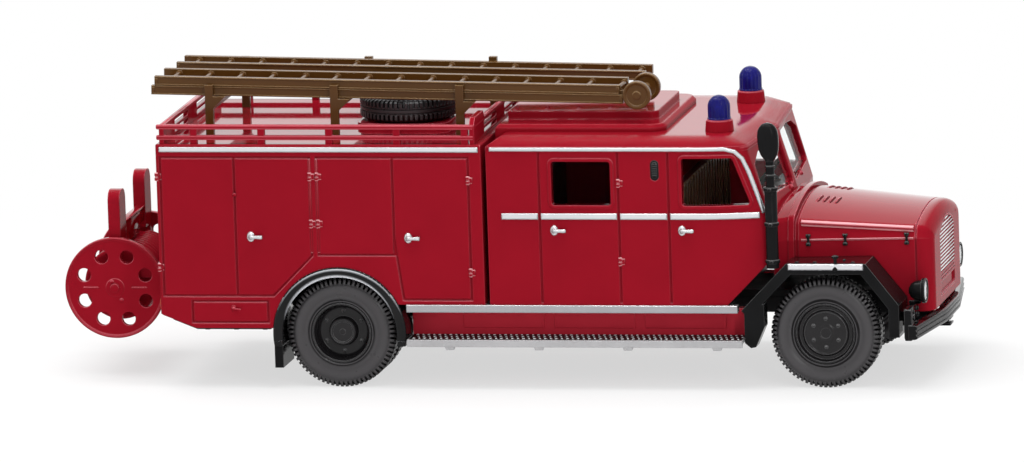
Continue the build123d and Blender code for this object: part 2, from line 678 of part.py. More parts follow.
def make_bonnet(cab):
    rear = bonnet_section(bonnet_x0, bonnet_half_rear, shoulder_rear_z, crown_rear_z, bonnet_z0)
    front = bonnet_section(nose_seam_x, bonnet_half_front, shoulder_front_z, crown_front_z,
                           bonnet_z0)
    nose = extrude(front, amount=nose_x - nose_seam_x, dir=(1, 0, 0))
    face = nose.faces().sort_by(Axis.X)[-1]
    rim = [e for e in face.edges() if e.center().Z > bonnet_z0 + seam]
    nose = fillet(rim, nose_r)
    body = loft([rear, front], ruled=True) + nose
    hoop = bonnet_section(nose_seam_x, bonnet_half_front + 1, shoulder_front_z + 1,
                          crown_front_z + 1, bonnet_z0 - 1)
    core = bonnet_section(nose_seam_x, bonnet_half_front - nose_seam,
                          shoulder_front_z - nose_seam, crown_front_z - nose_seam,
                          bonnet_z0 - 1)
    groove = extrude(hoop, amount=nose_seam, dir=(1, 0, 0))
    groove -= extrude(core, amount=nose_seam, dir=(1, 0, 0))
    body -= groove
    opening = grille_outline()
    body -= prism_yz(opening, nose_x - grille_depth, nose_x + 1)
    body -= arch_prism(fender_line, -half, half)
    keep("bonnet", body)

    back_x = nose_x - grille_depth
    plate_x = nose_x - grille_depth / 2
    grille = prism_yz(opening, back_x, plate_x)
    frame = opening - offset(opening, amount=-seam, kind=Kind.INTERSECTION)
    grille += prism_yz(frame, plate_x, nose_x)
    inside = prism_yz(opening, plate_x, nose_x)
    for i in range(slat_count):
        z = slat_z0 + i * slat_pitch
        grille += block(plate_x, nose_x - slat_set, -half, half, z, z + slat_h) & inside
    for z in bar_zs:
        grille += block(plate_x, nose_x, -half, half, z, z + seam) & inside
    keep("grille", grille)

    wide = bonnet_section(scuttle_x0, scuttle_half, shoulder_rear_z + collar,
                          crown_rear_z + collar, bonnet_z0)
    neck = bonnet_section(scuttle_x1, bonnet_half_rear + collar, shoulder_rear_z + collar,
                          crown_rear_z + collar, bonnet_z0)
    last = bonnet_section(scuttle_x1, bonnet_half_rear - seam, shoulder_rear_z - seam,
                          crown_rear_z - seam, bonnet_z0)
    scuttle = loft([wide, neck], ruled=True)
    scuttle += extrude(last, amount=bonnet_x0 - scuttle_x1, dir=(1, 0, 0))
    ring = bonnet_section(collar_x[0], bonnet_half_rear + 2 * collar, shoulder_rear_z + 2 * collar,
                          crown_rear_z + 2 * collar, bonnet_z0)
    scuttle += extrude(ring, amount=collar_x[1] - collar_x[0], dir=(1, 0, 0))
    scuttle -= cab
    scuttle -= arch_prism(fender_line, -half, half)
    scuttle -= block(0, arch_cut[1][0], -half, half, 0, cab_cowl_z)
    keep("scuttle", scuttle.solids().sort_by(SortBy.VOLUME)[-1])


# ---------------------------------------------------------------- front end
def make_front():
    lip_depth, lip_width = fender_lip
    plate = prism_xz(polygon(bent_strip(fender_line, fender_t)), fender_in, fender_out)
    plate += prism_xz(polygon(bent_strip(fender_line, lip_depth)), fender_out - lip_width,
                      fender_out)
    plate += prism_xz(polygon(front_flap), front_flap_in, fender_out)
    keep("front_fenders", both(plate))
    x0, z = fender_line[1]
    x1 = fender_line[2][0]
    strip = block(x0 + seam, x1 - seam, fender_out, fender_out + strip_t, z - fender_strip_h, z)
    keep("fender_strips", both(strip))

    outline = [(bumper_front_x - bumper_sweep, bumper_half), (bumper_front_x, bumper_mid),
               (bumper_front_x, -bumper_mid), (bumper_front_x - bumper_sweep, -bumper_half)]
    inner = [(x - bumper_t, y) for x, y in outline][::-1]
    bar = prism_xy(polygon(outline + inner), bumper_z0, bumper_z1)
    bar = fillet(bar.edges().filter_by(Axis.Z).sort_by(Axis.X)[-2:], bumper_round)
    horn = block(chassis_x1, bumper_front_x - bumper_t, rail_y - rail_t / 2,
                 rail_y + rail_t / 2, bumper_z0 + seam, bumper_z1 - seam)
    x_in = bumper_front_x - bumper_sweep - bumper_t
    y0, y1 = bumper_plate_y
    end = block(x_in - bumper_t / 2, x_in + seam, y0, y1, bumper_z0, bumper_plate_z1)
    for shape in both(end) + both(horn):
        bar += shape
    bar += block(chassis_x1, chassis_x1 + horn_t, -rail_y, rail_y, bumper_z0 + seam,
                 bumper_z1 - seam)
    keep("bumper", bar)

    jaw_x0 = bumper_front_x - bumper_t - jaw[0]
    keep("tow_coupling", block(jaw_x0, bumper_front_x - seam, -jaw[1] / 2, jaw[1] / 2,
                               bumper_z0 - jaw[2], bumper_z0))

    rim_x = headlight_x - lens_t
    housing = rod_x(headlight_y, headlight_z, headlight_r, headlight_x - headlight_len, rim_x)
    housing += rod_x(headlight_y, headlight_z, headlight_r + lens_rim, rim_x - 2 * lens_rim,
                     rim_x)
    foot = headlight_foot / 2
    mid_x = headlight_x - headlight_len / 2
    stem = block(x_in - bumper_t / 2, mid_x + foot, headlight_y - foot, headlight_y + foot,
                 bumper_plate_z1, headlight_z)
    keep("headlight_housings", both(housing + stem))
    lens = rod_x(headlight_y, headlight_z, headlight_r, rim_x, headlight_x)
    keep("headlight_lenses", both(lens))


# ---------------------------------------------------------------- roof of the cab
def make_cab_roof(cab):
    z = cab_roof_z
    pads = []
    for x0, x1, y, t, r in (pad_low, pad_high):
        foot = cab_bend_z if z == cab_roof_z else z
        pad = block(x0, x1, -y, y, foot, z + t)
        pads.append(fillet(pad.edges().filter_by(Axis.Z).sort_by(Axis.X)[-2:], r))
        z += t
    low, high = pads
    low = chamfer(low.faces().sort_by(Axis.Z)[-1].edges(), pad_edge)
    keep("cab_roof_pad", (low + high) - cab)

    low_r, high_r = beacon_base_r
    height = beacon_z - cab_bend_z
    base = Pos(beacon_x, beacon_y, cab_bend_z + height / 2) * Cone(low_r, high_r, height)
    keep("beacon_bases", both(base - cab))
    shoulder = beacon_z + beacon_dome_h
    dome = rod_z(beacon_x, beacon_y, beacon_r, beacon_z, shoulder)
    ball = Pos(beacon_x, beacon_y, shoulder) * Sphere(beacon_r)
    dome += ball & block(0, 2 * beacon_x, 0, half, shoulder, shoulder + 2 * beacon_r)
    keep("beacon_domes", both(dome))

    pipe = rod_z(intake_x, intake_y, intake_r, fender_line[1][1], intake_neck_z)
    pipe += rod_z(intake_x, intake_y, intake_neck_r, intake_neck_z, intake_head_z0)
    for z in intake_clamps:
        pipe += rod_z(intake_x, intake_y, intake_r + seam / 2, z, z + seam)
    x0, x1, z1 = intake_head
    z0 = intake_head_z0
    head = polygon([(intake_x - intake_r, z0), (x0, z0 + head_taper), (x0, z1), (x1, z1),
                    (x1, z0 + head_taper / 2), (intake_x + intake_r, z0)])
    head = prism_xz(head, intake_y - head_half, intake_y + head_half)
    head = fillet(head.faces().sort_by(Axis.Z)[-1].edges(), head_round)
    keep("air_intake", (pipe + head) - cab)


# ---------------------------------------------------------------- roof of the box
def make_railing():
    y1 = railing_y
    y0 = y1 - rail_bar_t
    whole = None
    for z1 in (railing_top_z, railing_low_z):
        for side in both(block(railing_x0, railing_x1, y0, y1, z1 - rail_bar, z1)):
            whole = side if whole is None else whole + side
    first, last = railing_post_ends
    for i in range(railing_post_count):
        x = first + i * (last - first) / (railing_post_count - 1)
        post = block(x - railing_post_w / 2, x + railing_post_w / 2, y0, y1, box_roof_z,
                     railing_top_z)
        for side in both(post):
            whole += side
    for x0 in (railing_x0, railing_x1 - rail_bar_t):
        board = block(x0, x0 + rail_bar_t, -y1, y1, box_roof_z, railing_top_z)
        for z0, z1 in tail_slot_zs:
            slot = Pos(tail_slot_y, (z0 + z1) / 2) * SlotOverall(tail_slot_len, z1 - z0)
            board = cut_both(board, prism_yz(slot, x0 - 1, x0 + 1))
        whole += board
    ear = polygon([(ear_y, railing_top_z - rail_bar), (y1, railing_top_z - rail_bar),
                   (y1, railing_top_z), (y1 - ear_h, railing_top_z + ear_h),
                   (ear_y + ear_h, railing_top_z + ear_h), (ear_y, railing_top_z)])
    for side in both(prism_yz(ear, railing_x1 - rail_bar_t, railing_x1)):
        whole += side
    keep("roof_railing", whole)


def ladder_underside(x):
    return ladder_z0 - math.tan(math.radians(ladder_tilt)) * (x - ladder_x0)


def make_rack():
    lx, ly = rack_leg
    bar_z1 = ladder_z0 - rack_bar_drop
    frame = None
    for x in rack_xs:
        front = x + lx / 2
        under = ladder_underside(front + gusset[0])
        leg = block(x - lx / 2, front, rack_y - ly, rack_y, box_roof_z, rack_top_z)
        leg += prism_xz(polygon([(front, under - gusset[1]), (front + gusset[0], under),
                                 (front, under)]), rack_y - ly, rack_y)
        for side in both(leg):
            frame = side if frame is None else frame + side
        frame += block(x - lx / 2, front, -rack_y, rack_y, bar_z1 - rack_bar_t, bar_z1)
    keep("ladder_rack", frame)


def make_ladder(centre_y, half_w, z0, x0, length):
    """A ladder lying flat: two beams and the rungs between them, then tilted."""
    shape = None
    for beam in both(block(0, length, half_w - beam_t, half_w, 0, beam_h)):
        shape = beam if shape is None else shape + beam
    reach = half_w - beam_t / 2
    for i in range(int((length - rung_start) / rung_pitch) + 1):
        shape += rod_y(rung_start + i * rung_pitch, beam_h / 2, rung_d / 2, -reach, reach)
    return Pos(x0, centre_y, z0) * Rot(0, ladder_tilt, 0) * shape


def make_ladders():
    lower = make_ladder(-ladder_y, ladder_half, ladder_z0, ladder_x0, ladder_len)
    keep("ladder_lower", lower)
    upper = make_ladder(-ladder_y, ladder_half, ladder_z0 + beam_h + ladder_gap,
                        ladder_x0 + ladder_step, ladder_len - 2 * ladder_step)
    keep("ladder_upper", upper)
    keep("plug_ladder", make_ladder(plug_y, plug_half, ladder_z0 + plug_lift, ladder_x0,
                                    ladder_len))
    x = ladder_x0 + ladder_len + roller_r
    z = ladder_underside(x) + beam_h
    y_in = -ladder_y - ladder_half
    y_out = -ladder_y + ladder_half
    wheels = rod_y(x, z, roller_r, y_in - roller_t / 2, y_in + roller_t / 2)
    wheels += rod_y(x, z, roller_r, y_out - roller_t / 2, y_out + roller_t / 2)
    wheels += rod_y(x, z, roller_pin_r, y_in, y_out)
    arm = block(x - roller_r - beam_h, x, y_in, y_in + beam_t, z - beam_h / 2, z + beam_h / 2)
    arm += block(x - roller_r - beam_h, x, y_out - beam_t, y_out, z - beam_h / 2, z + beam_h / 2)
    keep("ladder_rollers", (wheels + arm) - lower - upper)


def make_spare():
    x0, x1 = spare_x - spare_d / 2 + seam, spare_x + spare_d / 2 - seam
    base = block(x0, x1, -spare_base_y, spare_base_y, box_roof_z, box_roof_z + spare_base_t)
    base = fillet(base.edges().filter_by(Axis.Z), spare_base_r)
    keep("spare_wheel_base", base)
    z0 = box_roof_z + spare_base_t
    r = spare_d / 2
    z1 = z0 + spare_h
    rim_r = rim_d / 2
    profile = [(axle_d, z0), (r - sidewall_round, z0), (r, z0 + tread_round),
               (r, z1 - tread_round), (r - sidewall_round, z1), (rim_r, z1),
               (rim_r - tread_round, z1 - spare_dish), (axle_d, z1 - spare_dish)]
    face = Plane.XZ * make_face(Polyline(*profile, close=True))
    keep("spare_wheel", Pos(spare_x, 0, 0) * revolve(face, Axis.Z))


# ---------------------------------------------------------------- trim and fittings
def make_trim():
    z0, z1 = box_gutter_z - strip_h / 2, box_gutter_z + strip_h / 2
    keep("box_trim", both(block(box_x0 + edge_r, box_x1 - seam, half, half + strip_t, z0, z1)))
    keep("cab_trim", both(cab_skin(polygon(bent_strip(roof_strip, roof_strip_w)), strip_t)))
    belts = []
    z0, z1 = belt_z - belt_h / 2, belt_z + belt_h / 2
    starts = [belt_ends[0]] + [x + belt_gap for x in door_seams]
    stops = [x - belt_gap for x in door_seams] + [belt_ends[1]]
    for x0, x1 in zip(starts, stops):
        belts += both(cab_skin(polygon([(x0, z0), (x1, z0), (x1, z1), (x0, z1)]), strip_t))
    keep("belt_trim", belts)
    sill = block(board_x0, board_x1 - sill_trim_end, half - wall, half + strip_t, rail_z1,
                 body_z0)
    keep("sill_trim", both(sill))
    handles = []
    for x, z in handle_places:
        knob = rod_y(x, z, handle_r, half, half + handle_out)
        lever = block(x, x + handle_len, half + handle_out / 2, half + handle_out,
                      z - handle_r / 2, z + handle_r / 2)
        handles += both(knob + lever)
    keep("door_handles", handles)
    latches = []
    w, out, h = latch_size
    for x in latch_xs:
        t = (x - bonnet_x0) / (nose_seam_x - bonnet_x0)
        y = bonnet_half_rear + t * (bonnet_half_front - bonnet_half_rear)
        latch = block(x - w / 2, x + w / 2, y - out, y + out,
                      crease_z - h / 2, crease_z + h / 2)
        latches += [side - parts["bonnet"] for side in both(latch)]
    keep("bonnet_latches", latches)
    lamp = block(box_x0 - rear_lamp_t, box_x0, *rear_lamp_y, *rear_lamp_z)
    keep("rear_lights", both(lamp))


# ---------------------------------------------------------------- hose reel
def make_reel():
    y0, y1 = blade_y
    x0, x1 = reel_x - blade_t / 2, reel_x + blade_t / 2
    blade = block(x0, x1, y0, y1, reel_z + reel_hose_r + blade_clear, blade_top_z)
    crown = [e for e in blade.edges().filter_by(Axis.X) if e.center().Z > blade_top_z - seam]
    blade = fillet(crown, (y1 - y0) / 2 - seam)
    shank = block(x0, x1, y1 - arm_t, y1, reel_z - 2 * reel_axle_r, blade_top_z - (y1 - y0))
    arm = block(reel_x, box_x0, y1 - arm_t, y1, reel_z + 2 * reel_axle_r, reel_z + arm_h)
    carrier = blade + shank + arm
    carrier -= rod_y(reel_x, reel_z, reel_axle_r + fit, 0, half)
    keep("reel_carrier", both(carrier))
    disc_y = reel_disc_y + reel_disc_t
    disc = rod_y(reel_x, reel_z, reel_r, reel_disc_y, disc_y)
    for i in range(reel_holes):
        a = math.radians(360 * (i + 0.5) / reel_holes)
        x = reel_x + reel_hole_circle * math.cos(a)
        z = reel_z + reel_hole_circle * math.sin(a)
        disc += rod_y(x, z, reel_hole_r + reel_lip, disc_y, disc_y + reel_lip)
        disc -= rod_y(x, z, reel_hole_r, 0, half)
    disc += rod_y(reel_x, reel_z, reel_hub_r, disc_y, disc_y + reel_hub_t)
    disc -= rod_y(reel_x, reel_z, reel_axle_r, 0, half)
    keep("reel_discs", both(disc))
    end = disc_y + reel_hub_t
    keep("reel_axle", rod_y(reel_x, reel_z, reel_axle_r, -end, end))
    hose = rod_y(reel_x, reel_z, reel_hose_r, -reel_hose_half, reel_hose_half)
    keep("hose_winding", hose - rod_y(reel_x, reel_z, reel_axle_r, -half, half))


# ---------------------------------------------------------------- build and write
make_chassis()
make_wheels()
make_box()
make_sides()
cab_outer, cab_room = make_cab()
make_interior(cab_room)
make_bonnet(cab_outer)
make_front()
make_cab_roof(cab_outer)
make_railing()
make_rack()
make_ladders()
make_spare()
make_trim()
make_reel()

os.makedirs("parts", exist_ok=True)
for name, shape in parts.items():
    shape.label = name
    export_step(shape, "parts/" + name + ".step")
print(len(parts), "nodes")
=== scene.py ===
import json
from math import atan2, copysign, cos, pi, radians, sin, sqrt

import bmesh
import bpy
from mathutils import Matrix, Vector


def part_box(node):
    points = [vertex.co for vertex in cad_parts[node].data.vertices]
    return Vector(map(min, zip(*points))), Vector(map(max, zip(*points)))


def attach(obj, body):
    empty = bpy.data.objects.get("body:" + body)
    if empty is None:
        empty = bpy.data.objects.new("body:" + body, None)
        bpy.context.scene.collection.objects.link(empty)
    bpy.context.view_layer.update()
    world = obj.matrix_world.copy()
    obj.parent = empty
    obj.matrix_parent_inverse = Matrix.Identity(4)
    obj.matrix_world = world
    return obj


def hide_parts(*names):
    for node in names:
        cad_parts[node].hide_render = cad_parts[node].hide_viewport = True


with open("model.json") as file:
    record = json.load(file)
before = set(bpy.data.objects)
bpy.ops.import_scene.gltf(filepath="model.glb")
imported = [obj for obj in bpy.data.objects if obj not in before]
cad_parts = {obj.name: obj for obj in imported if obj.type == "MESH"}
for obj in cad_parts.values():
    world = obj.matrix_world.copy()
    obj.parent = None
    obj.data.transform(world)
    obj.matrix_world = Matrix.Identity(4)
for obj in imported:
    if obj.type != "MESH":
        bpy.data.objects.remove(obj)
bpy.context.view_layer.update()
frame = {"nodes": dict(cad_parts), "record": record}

# The looks of a 1:87 plastic fire engine.  Sizes here are millimetres, in the frame of the
# CAD model: +X forward, +Y to the vehicle's left, +Z up.  piece() scales a mesh to metres.
MM = 0.001
TURN = 2 * pi
SLOT_OF = {row["node"]: row["material_slot"] for row in frame["record"]["subparts"]}
scene = bpy.context.scene


def box_mm(node):
    """A CAD node's lowest corner, highest corner and middle, in millimetres."""
    lo, hi = (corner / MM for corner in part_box(node))
    return lo, hi, (lo + hi) / 2


def add_object(name, data):
    obj = bpy.data.objects.new(name, data)
    scene.collection.objects.link(obj)
    return obj


# ---- camera
PHOTO_W, PHOTO_H = 1024, 462
CAMERA_YAW = radians(11.57)  # turned this far from a square side view, to the front
CAMERA_RISE = radians(9.95)
CAMERA_ROLL = radians(1.89)
PX_PER_MM = 10.099
ORIGIN_PX = (518.74, 364.37)  # where the model's origin falls in the picture
LENS_MM, SENSOR_MM = 600.0, 36.0


def make_camera():
    back = Vector((sin(CAMERA_YAW) * cos(CAMERA_RISE), -cos(CAMERA_YAW) * cos(CAMERA_RISE),
                   sin(CAMERA_RISE)))
    level = Vector((cos(CAMERA_YAW), sin(CAMERA_YAW), 0.0))
    upright = back.cross(level)
    right = level * cos(CAMERA_ROLL) - upright * sin(CAMERA_ROLL)
    up = level * sin(CAMERA_ROLL) + upright * cos(CAMERA_ROLL)
    target = right * (PHOTO_W / 2 - ORIGIN_PX[0]) + up * (ORIGIN_PX[1] - PHOTO_H / 2)
    distance = PHOTO_W / PX_PER_MM * LENS_MM / SENSOR_MM * MM
    data = bpy.data.cameras.new("camera")
    data.lens, data.sensor_width = LENS_MM, SENSOR_MM
    data.clip_start, data.clip_end = distance / 10, distance * 10
    place = Matrix((right, up, back)).transposed().to_4x4()
    place.translation = target / PX_PER_MM * MM + back * distance
    scene.camera = add_object("camera", data)
    scene.camera.matrix_world = place


# ---- studio
AMBIENT = 0.52  # the world's strength, where 1 is white
FLOOR_SIZE = 3000.0
FLOOR_ALBEDO = 0.86
GLOW_NEAR = 0.64  # how much of the floor is its own white, under the model
GLOW_RADII = (45.0, 150.0)  # and where that starts and ends growing to all of it
GLOW_SQUASH = (1.0, 1.4, 0.0)  # in an oval that is longer along X
# Soft boxes: name, place, the point each faces (mm), its sides (mm) and its power (watts).
LAMPS = (
    ("soft_box_above", (-30, -40, 270), (0, 0, 10), (320, 200), 0.48),
    ("strip_above", (-10, -20, 200), (0, 0, 10), (260, 8), 0.10),
    ("strip_behind", (-10, 66, 200), (0, 0, 10), (260, 9), 0.07),
    ("strip_front", (120, -190, 110), (10, 0, 12), (8, 120), 0.07),
)


def connect(tree, node, inputs):
    """Links sockets to a node's inputs, or sets them to plain values."""
    for key, value in dict(inputs).items():
        if isinstance(value, bpy.types.NodeSocket):
            tree.links.new(value, node.inputs[key])
        else:
            node.inputs[key].default_value = value


def add_node(tree, kind, inputs=(), **settings):
    node = tree.nodes.new("ShaderNode" + kind)
    for key, value in settings.items():
        setattr(node, key, value)
    connect(tree, node, inputs)
    return node


def math_node(tree, operation, *values):
    return add_node(tree, "Math", enumerate(values), operation=operation).outputs[0]


def map_range(tree, *values):
    """Maps a value from low..high to to_low..to_high, given in that order."""
    keys = ("Value", "From Min", "From Max", "To Min", "To Max")
    return add_node(tree, "MapRange", zip(keys, values)).outputs["Result"]


def new_material(name):
    material = bpy.data.materials.new(name)
    material.use_nodes = True
    return material, material.node_tree


def seen_directly(tree):
    """1 for camera, glossy and transmission rays, 0 for the rays that only carry light."""
    rays = add_node(tree, "LightPath").outputs
    either = math_node(tree, "MAXIMUM", rays["Is Camera Ray"], rays["Is Glossy Ray"])
    return math_node(tree, "MAXIMUM", either, rays["Is Transmission Ray"])


def make_world():
    scene.world = bpy.data.worlds.new("studio")
    scene.world.use_nodes = True
    tree = scene.world.node_tree
    strength = map_range(tree, seen_directly(tree), 0, 1, AMBIENT, 1)
    connect(tree, tree.nodes["Background"], {"Color": (1, 1, 1, 1), "Strength": strength})


def make_floor():
    """A pale floor that keeps the model's shadow and fades into the white background."""
    half = FLOOR_SIZE / 2 * MM
    mesh = bpy.data.meshes.new("floor")
    mesh.from_pydata([(-half, -half, 0), (half, -half, 0), (half, half, 0), (-half, half, 0)],
                     [], [(0, 1, 2, 3)])
    floor = add_object("floor", mesh)
    material, tree = new_material("pale_floor")
    tree.nodes.remove(tree.nodes["Principled BSDF"])
    point = add_node(tree, "TexCoord").outputs["Object"]
    oval = add_node(tree, "VectorMath", {0: point, 1: GLOW_SQUASH}, operation="MULTIPLY")
    reach = add_node(tree, "VectorMath", {0: oval.outputs[0]}, operation="LENGTH")
    near, far = (r * MM for r in GLOW_RADII)
    share = map_range(tree, reach.outputs["Value"], near, far, GLOW_NEAR, 1)
    share = math_node(tree, "MULTIPLY", share, seen_directly(tree))
    diffuse = add_node(tree, "BsdfDiffuse", {"Color": (*(FLOOR_ALBEDO,) * 3, 1)})
    glow = add_node(tree, "Emission")
    mix = add_node(tree, "MixShader", {0: share, 1: diffuse.outputs[0], 2: glow.outputs[0]})
    connect(tree, tree.nodes["Material Output"], {"Surface": mix.outputs[0]})
    mesh.materials.append(material)


def make_lamps():
    for name, place, facing, (width, height), power in LAMPS:
        data = bpy.data.lights.new(name, "AREA")
        data.shape, data.energy = "RECTANGLE", power
        data.size, data.size_y = width * MM, height * MM
        lamp = add_object(name, data)
        lamp.location = Vector(place) * MM
        lamp.rotation_euler = (Vector(facing) - Vector(place)).to_track_quat("-Z", "Y").to_euler()


# ---- materials
MOTTLE, GRAIN = 250.0, 4000.0  # scales of the colour's mottling and of the fine grain
MIX_A, MIX_B, MIX_COLOUR = 6, 7, 2  # a Mix node's colour inputs and output


def rgba(colour, factor=1.0):
    return (*(min(c * factor, 1.0) for c in colour), 1.0)


def noise(tree, place, scale, detail=3.0):
    inputs = {"Vector": place, "Scale": scale, "Detail": detail}
    return add_node(tree, "TexNoise", inputs).outputs["Fac"]


def mix_colours(tree, share, a, b):
    mix = add_node(tree, "Mix", {0: share, MIX_A: a, MIX_B: b}, data_type="RGBA")
    return mix.outputs[MIX_COLOUR]


def surface(name, colour, vary=0.06, rough=(0.2, 0.3), bump=0.1, edge=0.0, edge_r=0.1,
            edge_colour=(1, 1, 1), upside=1.0, underside=0.2, crest=0.0, crest_axis="Z",
            crest_range=(0.2, 0.6), coat=0.0, broad=None, streak=(1, 1, 1), specular=0.5,
            **sockets):
    """A moulded, printed or turned surface: mottled colour, uneven gloss and fine grain.

    Edges are rounded by edge_r and take the edge colour by edge, times upside where they face up
    and underside where they face down.  That edge colour is painted light: a painted highlight
    where it is lighter than the surface and painted shade where it is darker.  All that faces
    along the highlight axis takes the same colour as a painted highlight, by its share, and what
    faces up has a clear gloss by coat.  broad is (radius, low z, high z): above, edges look that
    much rounder.  Uniform values go to the shader."""
    material, tree = new_material(name)
    point = add_node(tree, "TexCoord").outputs["Object"]
    place = add_node(tree, "Mapping", {"Vector": point, "Scale": streak}).outputs["Vector"]
    tone = map_range(tree, noise(tree, place, MOTTLE), 0.3, 0.7, 0, 1)
    paint = mix_colours(tree, tone, rgba(colour, 1 - vary), rgba(colour, 1 + vary))
    rounding = add_node(tree, "Bevel", {"Radius": edge_r * MM}, samples=4).outputs[0]
    normal = rounding
    if broad:
        radius, low, high = (v * MM for v in broad)
        height = add_node(tree, "SeparateXYZ", {0: point}).outputs["Z"]
        radius = map_range(tree, height, low, high, edge_r * MM, radius)
        normal = add_node(tree, "Bevel", {"Radius": radius}, samples=8).outputs[0]
    facing = add_node(tree, "SeparateXYZ", {0: normal}).outputs
    # Painted light on edges: the edge colour goes where the rounding bends the normal, by upside
    # where the edge faces up and by underside where it faces down.
    if edge:
        plain = add_node(tree, "NewGeometry").outputs["Normal"]
        bend = add_node(tree, "VectorMath", {0: rounding, 1: plain}, operation="DOT_PRODUCT")
        edge_shading_mask = map_range(tree, bend.outputs["Value"], 0.995, 0.88, 0, edge)
        tilt = map_range(tree, facing["Z"], -0.05, 0.45, underside, upside)
        edge_shading_mask = math_node(tree, "MULTIPLY", edge_shading_mask, tilt)
        paint = mix_colours(tree, edge_shading_mask, paint, rgba(edge_colour))
    # Painted highlight: the edge colour over all that faces along the chosen axis, whatever the
    # light.
    if crest:
        along = math_node(tree, "ABSOLUTE", facing[crest_axis], 0)
        share = map_range(tree, along, *crest_range, 0, crest)
        paint = mix_colours(tree, share, paint, rgba(edge_colour))
    if coat:
        sockets["Coat Weight"] = map_range(tree, facing["Z"], 0.86, 0.99, 0, coat)
    gloss = map_range(tree, noise(tree, place, MOTTLE * 3), 0.3, 0.7, *rough)
    relief = add_node(tree, "Bump", {"Strength": bump, "Distance": 0.02 * MM, "Normal": normal,
                                     "Height": noise(tree, place, GRAIN, 2.0)}).outputs[0]
    connect(tree, tree.nodes["Principled BSDF"], {
        "Base Color": paint, "Roughness": gloss, "Normal": relief, "Coat Normal": relief,
        "Specular IOR Level": specular, **sockets})
    return material


RED, BLACK = (0.31, 0.0075, 0.018), (0.009, 0.009, 0.0095)
GLOSSY = {"rough": (0.05, 0.1), "Coat Roughness": 0.04}
# The red's gloss, with a painted highlight of pale pink on its rounded edges, almost only where
# they face up.
RED_GLOSS_EDGE_HIGHLIGHT = GLOSSY | dict(vary=0.04, bump=0.03, edge=0.8, edge_colour=(1.0, 0.26, 0.32),
                          edge_r=0.16, underside=0.04, coat=0.85, specular=0.012)
BLACK_GLOSS = GLOSSY | dict(vary=0.2, coat=1.0)
LINER_GLOSS = BLACK_GLOSS | dict(rough=(0.05, 0.09), specular=0.14)
CLEAR = {"bump": 0.02, "Transmission Weight": 1.0}
METAL = {"vary": 0.03, "Metallic": 1.0}
